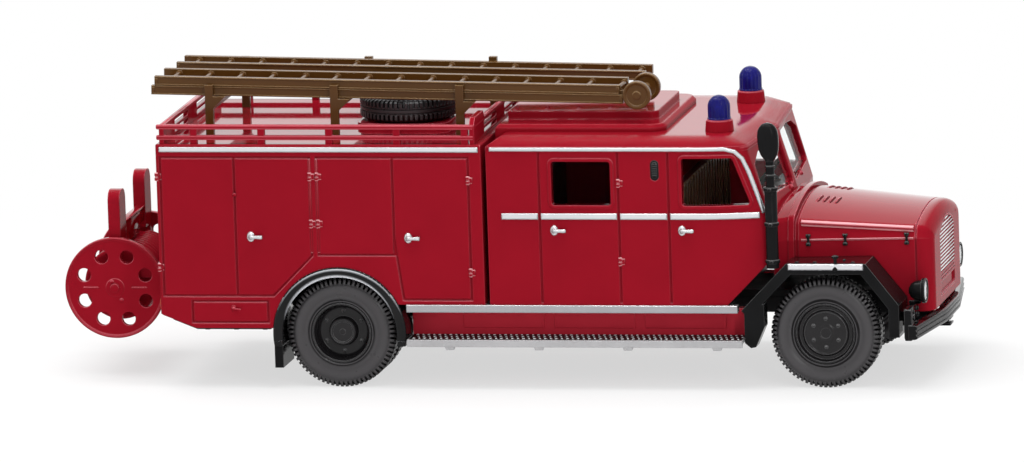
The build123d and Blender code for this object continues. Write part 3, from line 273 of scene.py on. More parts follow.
# Every look's colour, and what it asks of surface().  The first twelve are the record's slots.
LOOKS = {
    "red_plastic": (RED, RED_GLOSS_EDGE_HIGHLIGHT),
    # Painted highlight: grey on rounded edges, mostly where they face up.
    "black_plastic": (BLACK, BLACK_GLOSS | dict(
        bump=0.04, edge=0.7, edge_colour=(0.24, 0.24, 0.24), edge_r=0.12, specular=0.05)),
    # Painted highlight: a faintly lighter grey on rounded edges.
    "chassis_black": ((0.012, 0.012, 0.013), dict(
        vary=0.2, rough=(0.35, 0.5), bump=0.2, edge=0.3, edge_colour=(0.05, 0.05, 0.055),
        specular=0.15)),
    # Painted highlight: light grey on the rims' rounded edges and rings, less where they face
    # down.
    "rim_black": ((0.012, 0.011, 0.012), dict(
        vary=0.2, rough=(0.16, 0.26), bump=0.12, edge=0.8, edge_colour=(0.3, 0.3, 0.305),
        underside=0.4, specular=0.25)),
    # Painted sheen: the tyres' sidewalls lighter where they face straight out, the tread and
    # shoulders darker.
    "tyre_black": ((0.012, 0.011, 0.012), dict(
        vary=0.1, rough=(0.26, 0.36), bump=0.14, edge_colour=(0.066, 0.062, 0.066),
        edge_r=0.04, crest=0.9, crest_axis="Y", crest_range=(0.72, 0.995), specular=0.34)),
    # Painted highlight: tan on the ladders' rounded edges, mostly where they face up.
    "ladder_brown": ((0.10, 0.042, 0.008), dict(
        vary=0.1, rough=(0.16, 0.26), bump=0.08, edge=0.8, edge_colour=(0.6, 0.4, 0.2),
        streak=(0.25, 1, 1), underside=0.1, specular=0.2)),
    # Painted shade: the printed strips' edges darker, most of all where they face down.
    "silver_print": ((0.72, 0.72, 0.74), METAL | dict(
        rough=(0.12, 0.2), bump=0.02, edge=1.0, edge_colour=(0.09, 0.08, 0.09), edge_r=0.25,
        upside=0.25, underside=1.0, Metallic=0.9)),
    # Painted highlight: near white on rounded edges, mostly where they face up.
    "silver_plastic": ((0.5, 0.5, 0.51), dict(
        vary=0.08, rough=(0.3, 0.42), edge=0.5, edge_colour=(0.9, 0.9, 0.9), specular=0.25)),
    "clear": ((0.95, 0.96, 0.96), CLEAR | dict(
        vary=0.02, rough=(0.0, 0.04), bump=0.01, edge_r=0.04, IOR=1.03)),
    "blue_clear": ((0.012, 0.012, 0.2), CLEAR | {
        "vary": 0.08, "rough": (0.02, 0.07), "edge_r": 0.03, "coat": 1.0,
        "Coat Roughness": 0.02, "Transmission Weight": 0.4, "IOR": 1.2}),
    # Painted highlight: tan on the rounded edges of the seats and their ribs, also where they face
    # down.
    "interior_brown": ((0.014, 0.006, 0.004), dict(
        vary=0.12, rough=(0.3, 0.4), edge=0.6, edge_colour=(0.4, 0.24, 0.11), edge_r=0.16,
        underside=0.8, specular=0.15)),
    # Painted highlight: paler orange on rounded edges.
    "lamp_orange": ((0.62, 0.07, 0.02), CLEAR | {
        "vary": 0.08, "rough": (0.08, 0.16), "bump": 0.05, "edge": 0.2,
        "edge_colour": (0.8, 0.3, 0.15), "Transmission Weight": 0.2}),
    # The same painted highlight on edges, weaker; on the cab the roof's edges also look rounder.
    "cab_red": (RED, RED_GLOSS_EDGE_HIGHLIGHT | dict(edge=0.5, broad=(2.4, 23.4, 24.6))),
    "pad_red": (RED, RED_GLOSS_EDGE_HIGHLIGHT | dict(edge=0.15, edge_r=0.3)),
    # Painted light: a brighter copy of the red for the sills and their flaps, as if lit from the
    # floor.
    "sill_red_painted_lit": ((0.68, 0.035, 0.06), RED_GLOSS_EDGE_HIGHLIGHT),
    # Painted highlight: pale pink over all that faces up, and on edges, for hinges, beads and the
    # bonnet's lines.
    "red_painted_glint": (RED, RED_GLOSS_EDGE_HIGHLIGHT | dict(bump=0.02, crest=0.85, edge_colour=(1.0, 0.5, 0.54))),
    # Painted sheen: pink over all that faces up, for the railing's bars.
    "red_painted_sheen": (RED, RED_GLOSS_EDGE_HIGHLIGHT | dict(bump=0.02, crest=0.35)),
    "vent_shadow": ((0.09, 0.002, 0.005), dict(vary=0.1, rough=(0.4, 0.5), specular=0.05)),
    # Painted highlight: grey on the liners' rounded edges, only where they face up.
    "liner_gloss": (BLACK, LINER_GLOSS | dict(
        bump=0.03, edge=0.9, edge_colour=(0.3, 0.3, 0.31), underside=0.0)),
    # Painted highlight: near white over what faces up on the arch lips.
    "lip_painted_highlight": (BLACK, LINER_GLOSS | dict(
        bump=0.02, crest=0.9, edge_colour=(0.8, 0.83, 0.88), edge_r=0.03)),
    # Painted highlight: the sill strips' top edges paler than the rest.
    "sill_silver": ((0.4, 0.4, 0.42), dict(
        vary=0.05, rough=(0.16, 0.24), bump=0.03, edge=0.8, edge_colour=(0.75, 0.72, 0.74),
        edge_r=0.2, underside=0.0, Metallic=0.8)),
    # Painted light on the boards' silver tops: a near-black sheet as painted shade, and lozenges
    # painted white as glints.
    "board_painted_shade": ((0.012, 0.012, 0.013), dict(vary=0.2, rough=(0.3, 0.4), specular=0.05)),
    "board_painted_glint": ((0.9, 0.9, 0.92), dict(
        vary=0.03, rough=(0.3, 0.4), bump=0.05, specular=0.3)),
    "lamp_mirror": ((0.85, 0.86, 0.87), METAL | dict(rough=(0.08, 0.16), bump=0.03)),
}
MATERIALS = {name: surface(name, colour, **asked) for name, (colour, asked) in LOOKS.items()}
OWN_LOOK = {"sill_trim": "sill_silver", "rear_arch_liners": "liner_gloss",
            "cab_body": "cab_red", "cab_roof_pad": "pad_red", "sills": "sill_red_painted_lit"}


def dress_nodes():
    """Every CAD node takes the look of its slot, or one of its own."""
    for name, node in frame["nodes"].items():
        if not node.data.materials:
            node.data.materials.append(None)
        for slot in node.material_slots:
            slot.material = MATERIALS[OWN_LOOK.get(name, SLOT_OF[name])]


# ---- mesh helpers
AXES = {"x": lambda a, b, t: (t, a, b), "y": lambda a, b, t: (a, t, b),
        "z": lambda a, b, t: (a, b, t)}
MERGE_MM = 1e-4  # points this near to each other become one


def merge(*shapes):
    """One mesh from several; the given ones are used up."""
    whole = bmesh.new()
    for shape in shapes:
        mesh = bpy.data.meshes.new("part")
        shape.to_mesh(mesh)
        whole.from_mesh(mesh)
        bpy.data.meshes.remove(mesh)
        shape.free()
    return whole


def moved(shape, matrix):
    bmesh.ops.transform(shape, matrix=matrix, verts=shape.verts)
    return shape


def shifted(shape, x, y, z):
    return moved(shape, Matrix.Translation((x, y, z)))


def turned(shape, degrees, axis):
    return moved(shape, Matrix.Rotation(radians(degrees), 4, axis))


def scaled(shape, x, y, z):
    return moved(shape, Matrix.Diagonal((x, y, z, 1)))


def mirrored(shape):
    """The shape's mirror image on the other side of the vehicle."""
    scaled(shape, 1, -1, 1)
    bmesh.ops.reverse_faces(shape, faces=shape.faces)
    return shape


def arc(r, count, step=None, start=0.0, at=(0, 0)):
    """Points on a circle about at, from start, a step apart or else all the way round it."""
    angles = [start + i * (step or TURN / count) for i in range(count)]
    return [(at[0] + r * cos(angle), at[1] + r * sin(angle)) for angle in angles]


def symmetric(half, x, y):
    """An outline from its first half; the second is its mirror image, by the factors x and y."""
    return [*half, *[(a * x, b * y) for a, b in half[::-1]]]


def skin(rows, closed=False):
    """A surface through rings of points, with flat ends unless its last ring meets its first."""
    shape = bmesh.new()
    rings = [[shape.verts.new(point) for point in row] for row in rows]
    for one, two in zip(rings, rings[1:] + rings[:closed]):
        for i in range(len(one)):
            shape.faces.new((one[i - 1], one[i], two[i], two[i - 1]))
    if not closed:
        shape.faces.new(rings[0])
        shape.faces.new(rings[-1][::-1])
    bmesh.ops.recalc_face_normals(shape, faces=shape.faces)
    return shape


def prism(outline, axis, low, high, r=0.0, segments=2):
    """An outline drawn across an axis, from low to high along it, with rounded edges."""
    shape = skin([[AXES[axis](a, b, t) for a, b in outline] for t in (low, high)])
    if r:
        bmesh.ops.bevel(shape, geom=shape.edges[:], offset=r, segments=segments, profile=0.5,
                        affect="EDGES", clamp_overlap=True)
    return shape


def slab(x0, x1, y0, y1, z0, z1, r=0.08, segments=2):
    return prism(((x0, y0), (x1, y0), (x1, y1), (x0, y1)), "z", z0, z1, r, segments)


def lathe(profile, axis, at=(0, 0, 0), steps=48, closed=False):
    """Turns (radius, place along the axis) pairs round an axis through the point at."""
    shape = skin([[AXES[axis](a, b, t) for a, b in arc(r, steps)] for r, t in profile], closed)
    bmesh.ops.remove_doubles(shape, verts=shape.verts, dist=MERGE_MM)
    bmesh.ops.recalc_face_normals(shape, faces=shape.faces)
    return shifted(shape, *at)


def inward(face, profile):
    """A profile whose places are given as depths behind a face."""
    return [(r, face - depth) for r, depth in profile]


def rounded(r, low, high, edge, corners=3):
    """The profile of a bar with rounded rims, from its low end to its high end."""
    step = pi / 2 / corners
    rims = (arc(edge, corners + 1, step, -pi / 2, (r - edge, low + edge))
            + arc(edge, corners + 1, step, 0.0, (r - edge, high - edge)))
    return [(0, low), *rims, (0, high)]


def pin(axis, at, r, low, high, edge=0.06, steps=24):
    """A short round bar with rounded rims."""
    return lathe(rounded(r, low, high, edge), axis, at, steps)


def nut(axis, at, r, low, high):
    """A hexagonal nut with a rounded stud through it."""
    body = shifted(prism(arc(r, 6), axis, low, high, r * 0.12, 1), *at)
    return merge(body, pin(axis, at, r * 0.5, low, high + (high - low) * 0.4, r * 0.2, 12))


def piece(name, slot, *shapes, pair=True, body="body", replaces=(), smooth=40.0, look=None):
    """Joins shapes to a piece that rides on a body; a pair has them on both sides."""
    shape = merge(*shapes)
    if pair:
        shape = merge(shape, mirrored(shape.copy()))
    bmesh.ops.recalc_face_normals(shape, faces=shape.faces)
    mesh = bpy.data.meshes.new(name)
    shape.to_mesh(mesh)
    shape.free()
    mesh.transform(Matrix.Scale(MM, 4))
    mesh.polygons.foreach_set("use_smooth", [True] * len(mesh.polygons))
    mesh.set_sharp_from_angle(angle=radians(smooth))
    mesh.materials.append(MATERIALS[look or slot])
    obj = add_object(name, mesh)
    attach(obj, body)
    if replaces:
        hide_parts(*replaces)


# ---- tyres
LUG_COUNT, SPARE_LUGS = 69, 60
# One lug's columns, as (share of the pitch, 0 on the lug and 1 in the gap beside it).
LUG_STEPS = ((0.0, 1), (0.09, 0), (0.35, 0), (0.6, 0), (0.69, 1), (0.85, 1))
TYRE_W, REAR_TYRE_W = 3.0, 6.0
TWIN_GAP = 0.9  # the groove between twin tyres
TYRE_SMOOTH = 32
# Section of a tyre that is TYRE_W wide from its bead to the middle of its tread, as (below the
# tread's top, behind the tyre's face) on a lug, then the same in a gap where that differs.
TYRE_HALF = (
    (2.50, 0.34), (2.43, 0.10), (2.33, 0.00), (2.24, 0.02), (2.14, 0.16), (2.02, 0.26),
    (1.88, 0.27), (1.70, 0.19), (1.48, 0.09), (1.22, 0.03), (1.02, 0.02), (0.86, 0.05),
    (0.72, 0.12), (0.62, 0.20), (0.54, 0.22, 0.56, 0.24), (0.46, 0.22, 0.52, 0.40),
    (0.22, 0.30, 0.44, 0.52), (0.08, 0.38, 0.36, 0.62), (0.00, 0.52, 0.33, 0.72),
    (0.00, 0.98, 0.32, 0.98), (0.03, 1.03, 0.05, 1.08), (0.03, 1.18, 0.05, 1.18),
    (0.16, 1.22), (0.16, 1.30), (0.02, 1.34))


def wheel_place(node):
    """The middle between a pair of wheels, their radius and their outer face."""
    lo, hi, mid = box_mm(node)
    return (mid.x, 0, mid.z), (hi.x - lo.x) / 2, hi.y


def tyre(top_r, face, width, axis, at, lugs=LUG_COUNT):
    """A ring with a tyre's section, from bead to bead, and lugs round its shoulders."""
    near = [[(top_r - drop, face - depth * width / TYRE_W) for drop, depth in (row[:2], row[-2:])]
            for row in TYRE_HALF]
    far = [[(r, 2 * face - width - t) for r, t in pair] for pair in near[::-1]]
    columns = []
    for lug in range(lugs):
        for share, gap in LUG_STEPS:
            angle = TURN * (lug + share) / lugs
            columns.append([AXES[axis](pair[gap][0] * cos(angle), pair[gap][0] * sin(angle),
                                       pair[gap][1]) for pair in near + far])
    return shifted(skin(columns, closed=True), *at)


def make_tyres():
    at, r, face = wheel_place("front_tyres")
    piece("front_tread_tyres", "tyre_black", tyre(r, face, TYRE_W, "y", at),
          body="front_wheels", replaces=["front_tyres"], smooth=TYRE_SMOOTH)
    at, r, face = wheel_place("rear_tyres")
    single = (REAR_TYRE_W - TWIN_GAP) / 2
    core = ((3.2, face - 2), (4.3, face - 2), (4.3, face - 4), (3.2, face - 4))
    piece("rear_tread_tyres", "tyre_black", tyre(r, face, single, "y", at),
          tyre(r, face - single - TWIN_GAP, single, "y", at), lathe(core, "y", at, 64, True),
          body="rear_wheels", replaces=["rear_tyres"], smooth=TYRE_SMOOTH)


# ---- rims
NUTS = 6
# Each rim's face from its edge to the cap, as (radius, behind the tyre's face).
FRONT_RIM = ((3.02, 0.45), (3.02, 0.14), (2.97, 0.06), (2.90, 0.04), (2.82, 0.06), (2.76, 0.14),
             (2.70, 0.36), (2.62, 0.50), (2.50, 0.55), (2.34, 0.52), (2.26, 0.42), (2.18, 0.33),
             (2.10, 0.30), (2.02, 0.33), (1.95, 0.40), (1.86, 0.43), (1.00, 0.40), (0.92, 0.36),
             (0.84, 0.30), (0.72, 0.28), (0.60, 0.31), (0.52, 0.37), (0.0, 0.38))
REAR_RIM = ((3.02, 0.50), (3.02, 0.14), (2.97, 0.06), (2.88, 0.04), (2.79, 0.08), (2.73, 0.18),
            (2.66, 0.60), (2.60, 0.95), (2.50, 1.20), (2.38, 1.36), (2.25, 1.42), (1.60, 1.42),
            (1.48, 1.38), (1.40, 1.24), (1.36, 0.72), (1.30, 0.60), (1.20, 0.54), (1.10, 0.54),
            (1.04, 0.60), (1.00, 0.66), (0.30, 0.64), (0.22, 0.58), (0.0, 0.56))


def rim(face, profile, back, at, nut_circle, nut_r, nut_floor, nut_h):
    """A turned rim with nuts on a circle, on a floor that lies this far behind its face."""
    section = [(0, back), (2.9, back), (3.02, back + 0.15), *inward(face, profile)]
    nuts = [nut("y", (at[0] + a, 0, at[2] + b), nut_r, face - nut_floor - 0.05,
                face - nut_floor + nut_h) for a, b in arc(nut_circle, NUTS, start=pi / NUTS)]
    return merge(lathe(section, "y", at, 72), *nuts)


def make_rims():
    at, _, face = wheel_place("front_tyres")
    front = rim(face, FRONT_RIM, box_mm("front_rims")[1].y - 2.5, at, 1.42, 0.19, 0.42, 0.1)
    piece("front_disc_rims", "rim_black", front, body="front_wheels", replaces=["front_rims"],
          smooth=35)
    at, _, face = wheel_place("rear_tyres")
    rear = rim(face, REAR_RIM, face - REAR_TYRE_W + 0.2, at, 2.0, 0.2, 1.42, 0.2)
    piece("rear_dish_rims", "rim_black", rear, body="rear_wheels", replaces=["rear_rims"],
          smooth=35)


def make_spare_wheel():
    """The spare on the roof, flat on its back."""
    lo, hi, mid = box_mm("spare_wheel")
    r, width, at = (hi.x - lo.x) / 2, hi.z - lo.z, (mid.x, 0, 0)
    hole = r - 2.45
    dish = ((0, width), (hole, width), (hole, 0.2), (hole - 0.1, 0.08), (hole - 0.25, 0.12),
            (hole - 0.4, 0.75), (hole - 0.7, 0.8), (1.0, 0.8), (0.92, 0.62), (0.8, 0.58),
            (0.7, 0.66), (0, 0.68))
    nuts = [nut("z", (mid.x + a, b, 0), 0.19, hi.z - 0.85, hi.z - 0.68) for a, b in arc(1.4, NUTS)]
    piece("roof_spare_tyre", "tyre_black", tyre(r, hi.z, width, "z", at, SPARE_LUGS),
          lathe(inward(hi.z, dish), "z", at), *nuts, pair=False, replaces=["spare_wheel"],
          smooth=TYRE_SMOOTH)


def make_spare_clamp():
    """The bar, the wing nut and the bolt that hold the spare down."""
    _, hi, mid = box_mm("spare_wheel")
    bar = slab(mid.x - 0.35, mid.x + 0.35, -1.9, 1.9, hi.z - 0.62, hi.z - 0.4)
    wing = slab(mid.x - 0.7, mid.x + 0.7, -0.14, 0.14, hi.z - 0.4, hi.z - 0.1)
    piece("spare_clamp", "chassis_black", bar, wing,
          pin("z", (mid.x, 0, 0), 0.3, hi.z - 0.7, hi.z - 0.12, 0.08, 16), pair=False)


# ---- fittings on the sides
SIDE = 13.5  # the flat sides' distance from the middle
CORNER_X = -33.02  # the rear corners
# Door hinges on the box and the cab, as (x, z) on the side.
HINGES = ((-17.6, 21.2), (-17.6, 16.5), (-16.9, 21.2), (-16.9, 16.5), (-1.75, 20.85),
          (-1.75, 11.65), (13.25, 20.6), (13.25, 12.8))
TAIL_HINGES = (21.15, 12.1)  # heights of the hinges on the rear corners
HINGE_R, HINGE_H, HINGE_GAP = 0.2, 0.85, 0.03
BEAD_XS, BEAD_Z = (-17.6, -16.9), (13.6, 23.0)  # moulded edges beside the doors' seams
HANDLE_ROSE = 0.46  # radius of each door handle's round plate
LEVER = ((0.0, 0.2), (0.35, 0.15), (0.8, 0.17), (1.15, 0.2), (1.24, 0.14))  # (x, half height)
HANDLES = ((-23.7, 15.2), (-7.9, 15.1), (6.75, 15.9), (19.5, 15.9))
LOCKER_KNOB = (-25.7, SIDE, 8.05)
DOOR_STOP = (-25.2, SIDE, 19.4)


def hinge(x, y, z):
    """An upright knuckle in two halves, on a small leaf."""
    at, half = (x, y, z), HINGE_H / 2
    return merge(pin("z", at, HINGE_R, HINGE_GAP, half, 0.1, 16),
                 pin("z", at, HINGE_R, -half, -HINGE_GAP, 0.1, 16),
                 pin("z", at, HINGE_R * 0.7, 0.1 - half, half - 0.1, 0.04, 12),
                 slab(x - 0.1, x + 0.48, y - 0.1, y + 0.05, z - 0.3, z + 0.3, 0.04))


def make_hinges():
    """Hinges on the sides and the rear corners, with a painted highlight where they face up."""
    piece("door_hinges", "red_plastic", *[mirrored(hinge(x, -SIDE, z)) for x, z in HINGES],
          look="red_painted_glint")
    piece("tail_door_hinges", "red_plastic",
          *[hinge(CORNER_X, SIDE - 0.12, z) for z in TAIL_HINGES], look="red_painted_glint")


def door_handle(size=1.0):
    """A round plate, a neck and a lever that points forward."""
    plate = ((0, 0), (HANDLE_ROSE, 0), (HANDLE_ROSE, 0.06), (HANDLE_ROSE - 0.08, 0.14),
             (0.26, 0.17), (0.2, 0.24), (0.2, 0.4), (0.16, 0.46), (0, 0.48))
    rose = scaled(lathe(plate, "y", steps=24), 0.86, 1, 1.12)
    lever = prism(symmetric(LEVER, 1, -1), "y", 0.24, 0.5, 0.07)
    return scaled(merge(rose, lever), size, size, size)


def make_handles():
    piece("lever_handles", "silver_print",
          *[shifted(door_handle(), x, SIDE, z) for x, z in HANDLES], replaces=["door_handles"])
    piece("locker_knobs", "red_plastic", shifted(turned(door_handle(0.62), 12, "Y"), *LOCKER_KNOB),
          lathe(rounded(0.2, 0, 0.16, 0.1), "y", DOOR_STOP, 16))


def make_door_beads():
    """Slim raised edges beside the seams of the doors, with a painted highlight where they face
    up.
    """
    piece("door_beads", "red_plastic",
          *[slab(x - 0.1, x + 0.1, SIDE - 0.15, SIDE + 0.05, *BEAD_Z, 0.05) for x in BEAD_XS],
          look="red_painted_glint")


# ---- boards and sills
BOARD_IN, BOARD_OUT = 10.6, 13.9
LOZENGE = (0.46, 0.3, 0.1)  # each raised lozenge: length, width, height
LOZENGE_PITCH, LOZENGE_ROWS, LOZENGE_TURN = 0.55, 3, 45
STAY_XS = (-4.0, 4.9, 13.8, 22.7)
SILL_PANELS = ((-3.2, 4.9), (5.9, 14.0), (15.0, 23.1))
SILL_PANEL_Z = (5.65, 7.35)


def lozenge(x, y, z, degrees):
    length, width, height = LOZENGE
    shape = bmesh.new()
    ring = ((length / 2, 0), (0, width / 2), (-length / 2, 0), (0, -width / 2))
    foot = [shape.verts.new((a, b, 0)) for a, b in ring]
    top = [shape.verts.new((a * 0.5, b * 0.4, height)) for a, b in ring]
    shape.faces.new(top)
    for i in range(4):
        shape.faces.new((foot[i - 1], foot[i], top[i], top[i - 1]))
    return shifted(turned(shape, degrees, "Z"), x, y, z)


def make_boards():
    """On each board staggered rows of lozenges, turned left and right by turns, painted white as
    glints, over a near-black sheet that paints shade on the board's top; under it, small stays
    at its lip and the arms that carry it."""
    lo, hi, _ = box_mm("running_boards")
    margin = LOZENGE_PITCH / 2
    across = (BOARD_OUT - BOARD_IN - margin) / LOZENGE_ROWS
    count = int((hi.x - lo.x - margin) / LOZENGE_PITCH)
    raised = [lozenge(lo.x + margin * (1 + row % 2) + (i + 0.5) * LOZENGE_PITCH,
                      BOARD_IN + (row + 0.5) * across, hi.z - 0.01,
                      LOZENGE_TURN if (i + row) % 2 else -LOZENGE_TURN)
              for row in range(LOZENGE_ROWS) for i in range(count)]
    # Painted light: the lozenges white as glints, and the sheet under them near black as shade.
    piece("board_lozenges", "silver_plastic", *raised, smooth=20, look="board_painted_glint")
    piece("board_shade_sheets", "silver_plastic",
          slab(lo.x + 0.1, hi.x - 0.1, BOARD_IN + 0.02, BOARD_OUT - 0.28, hi.z - 0.05,
               hi.z + 0.02, 0.02, 1), look="board_painted_shade")
    shapes = []
    for x in STAY_XS:
        tab = ((x - 0.55, lo.z + 0.1), (x + 0.55, lo.z + 0.1), (x + 0.4, lo.z - 0.3),
               (x - 0.4, lo.z - 0.3))
        shapes += [prism(tab, "y", BOARD_OUT - 0.4, BOARD_OUT - 0.02, 0.05),
                   slab(x - 0.3, x + 0.3, 4.6, BOARD_OUT - 0.3, lo.z + 0.05, lo.z + 0.4, 0.06)]
    piece("board_stays", "silver_plastic", *shapes)


def make_sill_panels():
    """Raised flaps along the red sills, each with two hinge pins."""
    y, (z0, z1) = BOARD_IN + 0.12, SILL_PANEL_Z
    shapes = []
    for x0, x1 in SILL_PANELS:
        shapes.append(slab(x0, x1, BOARD_IN - 0.2, y, z0, z1, 0.06))
        shapes += [pin("x", (0, y, z1 + 0.02), 0.12, x - 0.4, x + 0.4, 0.04, 12)
                   for x in (x0 + 1.0, x1 - 1.0)]
    # The flaps take the sills' lit copy of the red: painted light, brighter than the rest of the
    # body.
    piece("sill_flaps", "red_plastic", *shapes, look="sill_red_painted_lit")


# ---- lamps on the sides and the tail
INDICATOR_RIBS, INDICATOR_RIB_PITCH = 6, 0.22
TAIL_LAMP_Y = (10.7, 12.5)
TAIL_LENS = ((0, -0.02), (0.18, 0.0), (0.32, 0.06), (0.37, 0.14), (0.37, 0.3), (0, 0.3))


def make_indicators():
    """Slot-shaped lamps with a ribbed lens, one on each side of the cab."""
    lo, hi, _ = box_mm("turn_indicators")
    x, y, middle, r = (lo.x + hi.x) / 2, hi.y, (lo.z + hi.z) / 2, (hi.x - lo.x) / 2
    outline = arc(r, 13, pi / 12, 0.0, (x, hi.z - r)) + arc(r, 13, pi / 12, pi, (x, lo.z + r))
    lens = [(x + (a - x) * 0.6, middle + (b - middle) * 0.8) for a, b in outline]
    heights = [lo.z + 0.5 + INDICATOR_RIB_PITCH * i for i in range(INDICATOR_RIBS)]
    ribs = [slab(x - r * 0.5, x + r * 0.5, y + 0.18, y + 0.27, z - 0.05, z + 0.05, 0.02)
            for z in heights]
    piece("indicator_lamps", "black_plastic", prism(outline, "y", y - 0.12, y + 0.2, 0.07),
          prism(lens, "y", y + 0.1, y + 0.24, 0.04), *ribs, replaces=["turn_indicators"])


def make_tail_lamps():
    """A case with two round lenses on each rear corner."""
    lo, hi, mid = box_mm("rear_lights")
    y0, y1 = TAIL_LAMP_Y
    piece("tail_lamp_lenses", "lamp_orange", slab(lo.x + 0.1, hi.x + 0.2, y0, y1, lo.z, hi.z),
          *[lathe(TAIL_LENS, "x", (lo.x, y, mid.z), 24) for y in (y0 + 0.5, y1 - 0.5)],
          replaces=["rear_lights"])


# ---- bonnet
# The bonnet's cross-section at its rear and at its nose: x, half width, shoulder, crown.
BONNET_REAR = (30.3, 9.6, 16.2, 17.65)
BONNET_NOSE = (41.7, 8.35, 15.4, 16.45)
BONNET_LINE_STEPS = 4
SHOULDER_IN, SHOULDER_R = 0.5, 0.3
CREASE_Z = 14.3
SEAM_RING = ((-0.1, -0.1), (0.02, -0.1), (0.07, -0.04), (0.07, 0.03), (0.02, 0.09), (-0.1, 0.09))
# Groups of louvres on the bonnet's top: the x of the first slot and its middle's y.
LOUVRE_GROUPS = ((31.45, -3.3), (31.45, 3.3))
LOUVRES, LOUVRE_PITCH, LOUVRE_STEPS = 4, 0.6, 6
LOUVRE_HALF = 1.1  # half the length of each slot, across the bonnet
LOUVRE_SKEW = 0.1  # how far it slants forward towards the vehicle's left
LOUVRE_W, LOUVRE_H = 0.22, 0.14
LATCH_XS = (31.3, 34.9, 40.9)
LATCH_SIDE = ((0.24, 0.58), (0.24, 0.34), (0.12, 0.22), (0.12, -0.22), (0.24, -0.34),
              (0.24, -0.6))  # an hourglass's right side


def bonnet_at(x):
    """Half width, shoulder height and crown height of the bonnet at x."""
    t = (x - BONNET_REAR[0]) / (BONNET_NOSE[0] - BONNET_REAR[0])
    return [a + t * (b - a) for a, b in zip(BONNET_REAR[1:], BONNET_NOSE[1:])]


def bonnet_top(x, y):
    """Height of the bonnet's arched top over a point."""
    half, shoulder, crown = bonnet_at(x)
    lean, rise = half - SHOULDER_IN, crown - shoulder
    r = (lean ** 2 + rise ** 2) / (2 * rise)
    return crown - r + sqrt(r ** 2 - y ** 2)


def hood_ring(v):
    """Section of a louvre's hood, low behind and open in front, at v from -1 to 1 along it."""
    lift = LOUVRE_H * (1 - v ** 4)
    return ((-LOUVRE_W, -0.15), (-LOUVRE_W * 0.9, 0.01), (-LOUVRE_W * 0.3, lift * 0.8),
            (0, lift), (0.05, lift * 0.9), (0.05, -0.15))


def slot_ring(v):
    """Section of the dark sheet ahead of the hood, painted shade in place of the louvre's opening.
    """
    front = 0.06 + 0.13 * (1 - v ** 6)
    return (0.0, -0.1), (0.0, LOUVRE_H * 0.55), (front, 0.012), (front, -0.1)


def on_bonnet(x, y, ring_at, reach):
    """A slim shape across the bonnet, with the section ring_at(v), that follows its curve."""
    rows = []
    for i in range(LOUVRE_STEPS + 1):
        v = (2 * i / LOUVRE_STEPS - 1) * reach
        px, py = x + LOUVRE_SKEW * v, y + LOUVRE_HALF * v
        rows.append([(px + a, py, bonnet_top(px + a, py) + b) for a, b in ring_at(v)])
    return skin(rows)


def make_louvres():
    places = [(x + i * LOUVRE_PITCH, y) for x, y in LOUVRE_GROUPS for i in range(LOUVRES)]
    piece("bonnet_louvres", "red_plastic", *[on_bonnet(*at, hood_ring, 1) for at in places],
          pair=False)
    piece("bonnet_slots", "red_plastic", *[on_bonnet(*at, slot_ring, 0.93) for at in places],
          pair=False, look="vent_shadow")


def make_latches():
    """Hourglass catches over the bonnet's crease."""
    outline, shapes = symmetric(LATCH_SIDE, -1, 1), []
    for x in LATCH_XS:
        y = bonnet_at(x)[0]
        shapes += [shifted(prism(outline, "y", y - 0.12, y + 0.2, 0.05), x, 0, CREASE_Z)]
        shapes += [pin("y", (x, y, CREASE_Z + z), 0.15, 0, 0.3, 0.05, 12) for z in (0.42, -0.45)]
    piece("hood_catches", "black_plastic", *shapes, replaces=["bonnet_latches"])


def bonnet_line(ring, inset, height):
    """A slim moulding along the bonnet: a section ring, inset from the side at a height."""
    x0, x1 = BONNET_REAR[0] + 0.3, BONNET_NOSE[0] - 0.15
    xs = [x0 + (x1 - x0) * i / BONNET_LINE_STEPS for i in range(BONNET_LINE_STEPS + 1)]
    return skin([[(x, bonnet_at(x)[0] - inset + a, height(x) + b) for a, b in ring] for x in xs])


def make_bonnet_lines():
    """The slim bead along the bonnet's seam and the rounded edge over it, both with a painted
    highlight where they face up.
    """
    piece("bonnet_bead", "red_plastic", bonnet_line(SEAM_RING, 0, lambda x: CREASE_Z),
          look="red_painted_glint")
    shoulder = bonnet_line(arc(SHOULDER_R, 16), SHOULDER_IN - 0.12,
                           lambda x: bonnet_at(x)[1] - SHOULDER_R + 0.05)
    piece("bonnet_shoulders", "red_plastic", shoulder, look="red_painted_glint")


# ---- wiper pivots
WIPERS = ((28.3, -2.0, 18.2), (27.95, 5.0, 18.35))
WIPER_LEAN = -17  # degrees, as the windscreen leans
WIPER_BOSS = ((0, -0.3), (0.36, -0.3), (0.36, 0.0), (0.3, 0.14), (0.18, 0.2), (0.16, 0.3),
              (0.1, 0.34), (0, 0.35))
WIPER_ARM = ((-0.13, 0.0), (0.13, 0.0), (0.07, 0.55), (-0.07, 0.55))


def make_wiper_pivots():
    shapes = []
    for at in WIPERS:
        boss = merge(lathe(WIPER_BOSS, "x", steps=20), prism(WIPER_ARM, "x", 0.16, 0.26, 0.03))
        shapes.append(shifted(turned(boss, WIPER_LEAN, "Y"), *at))
    piece("wiper_bosses", "red_plastic", *shapes, pair=False)


# ---- headlights
LAMP_STEPS = 40
BULB = ((0, -0.86), (0.16, -0.84), (0.16, -0.5), (0.1, -0.42), (0, -0.4))


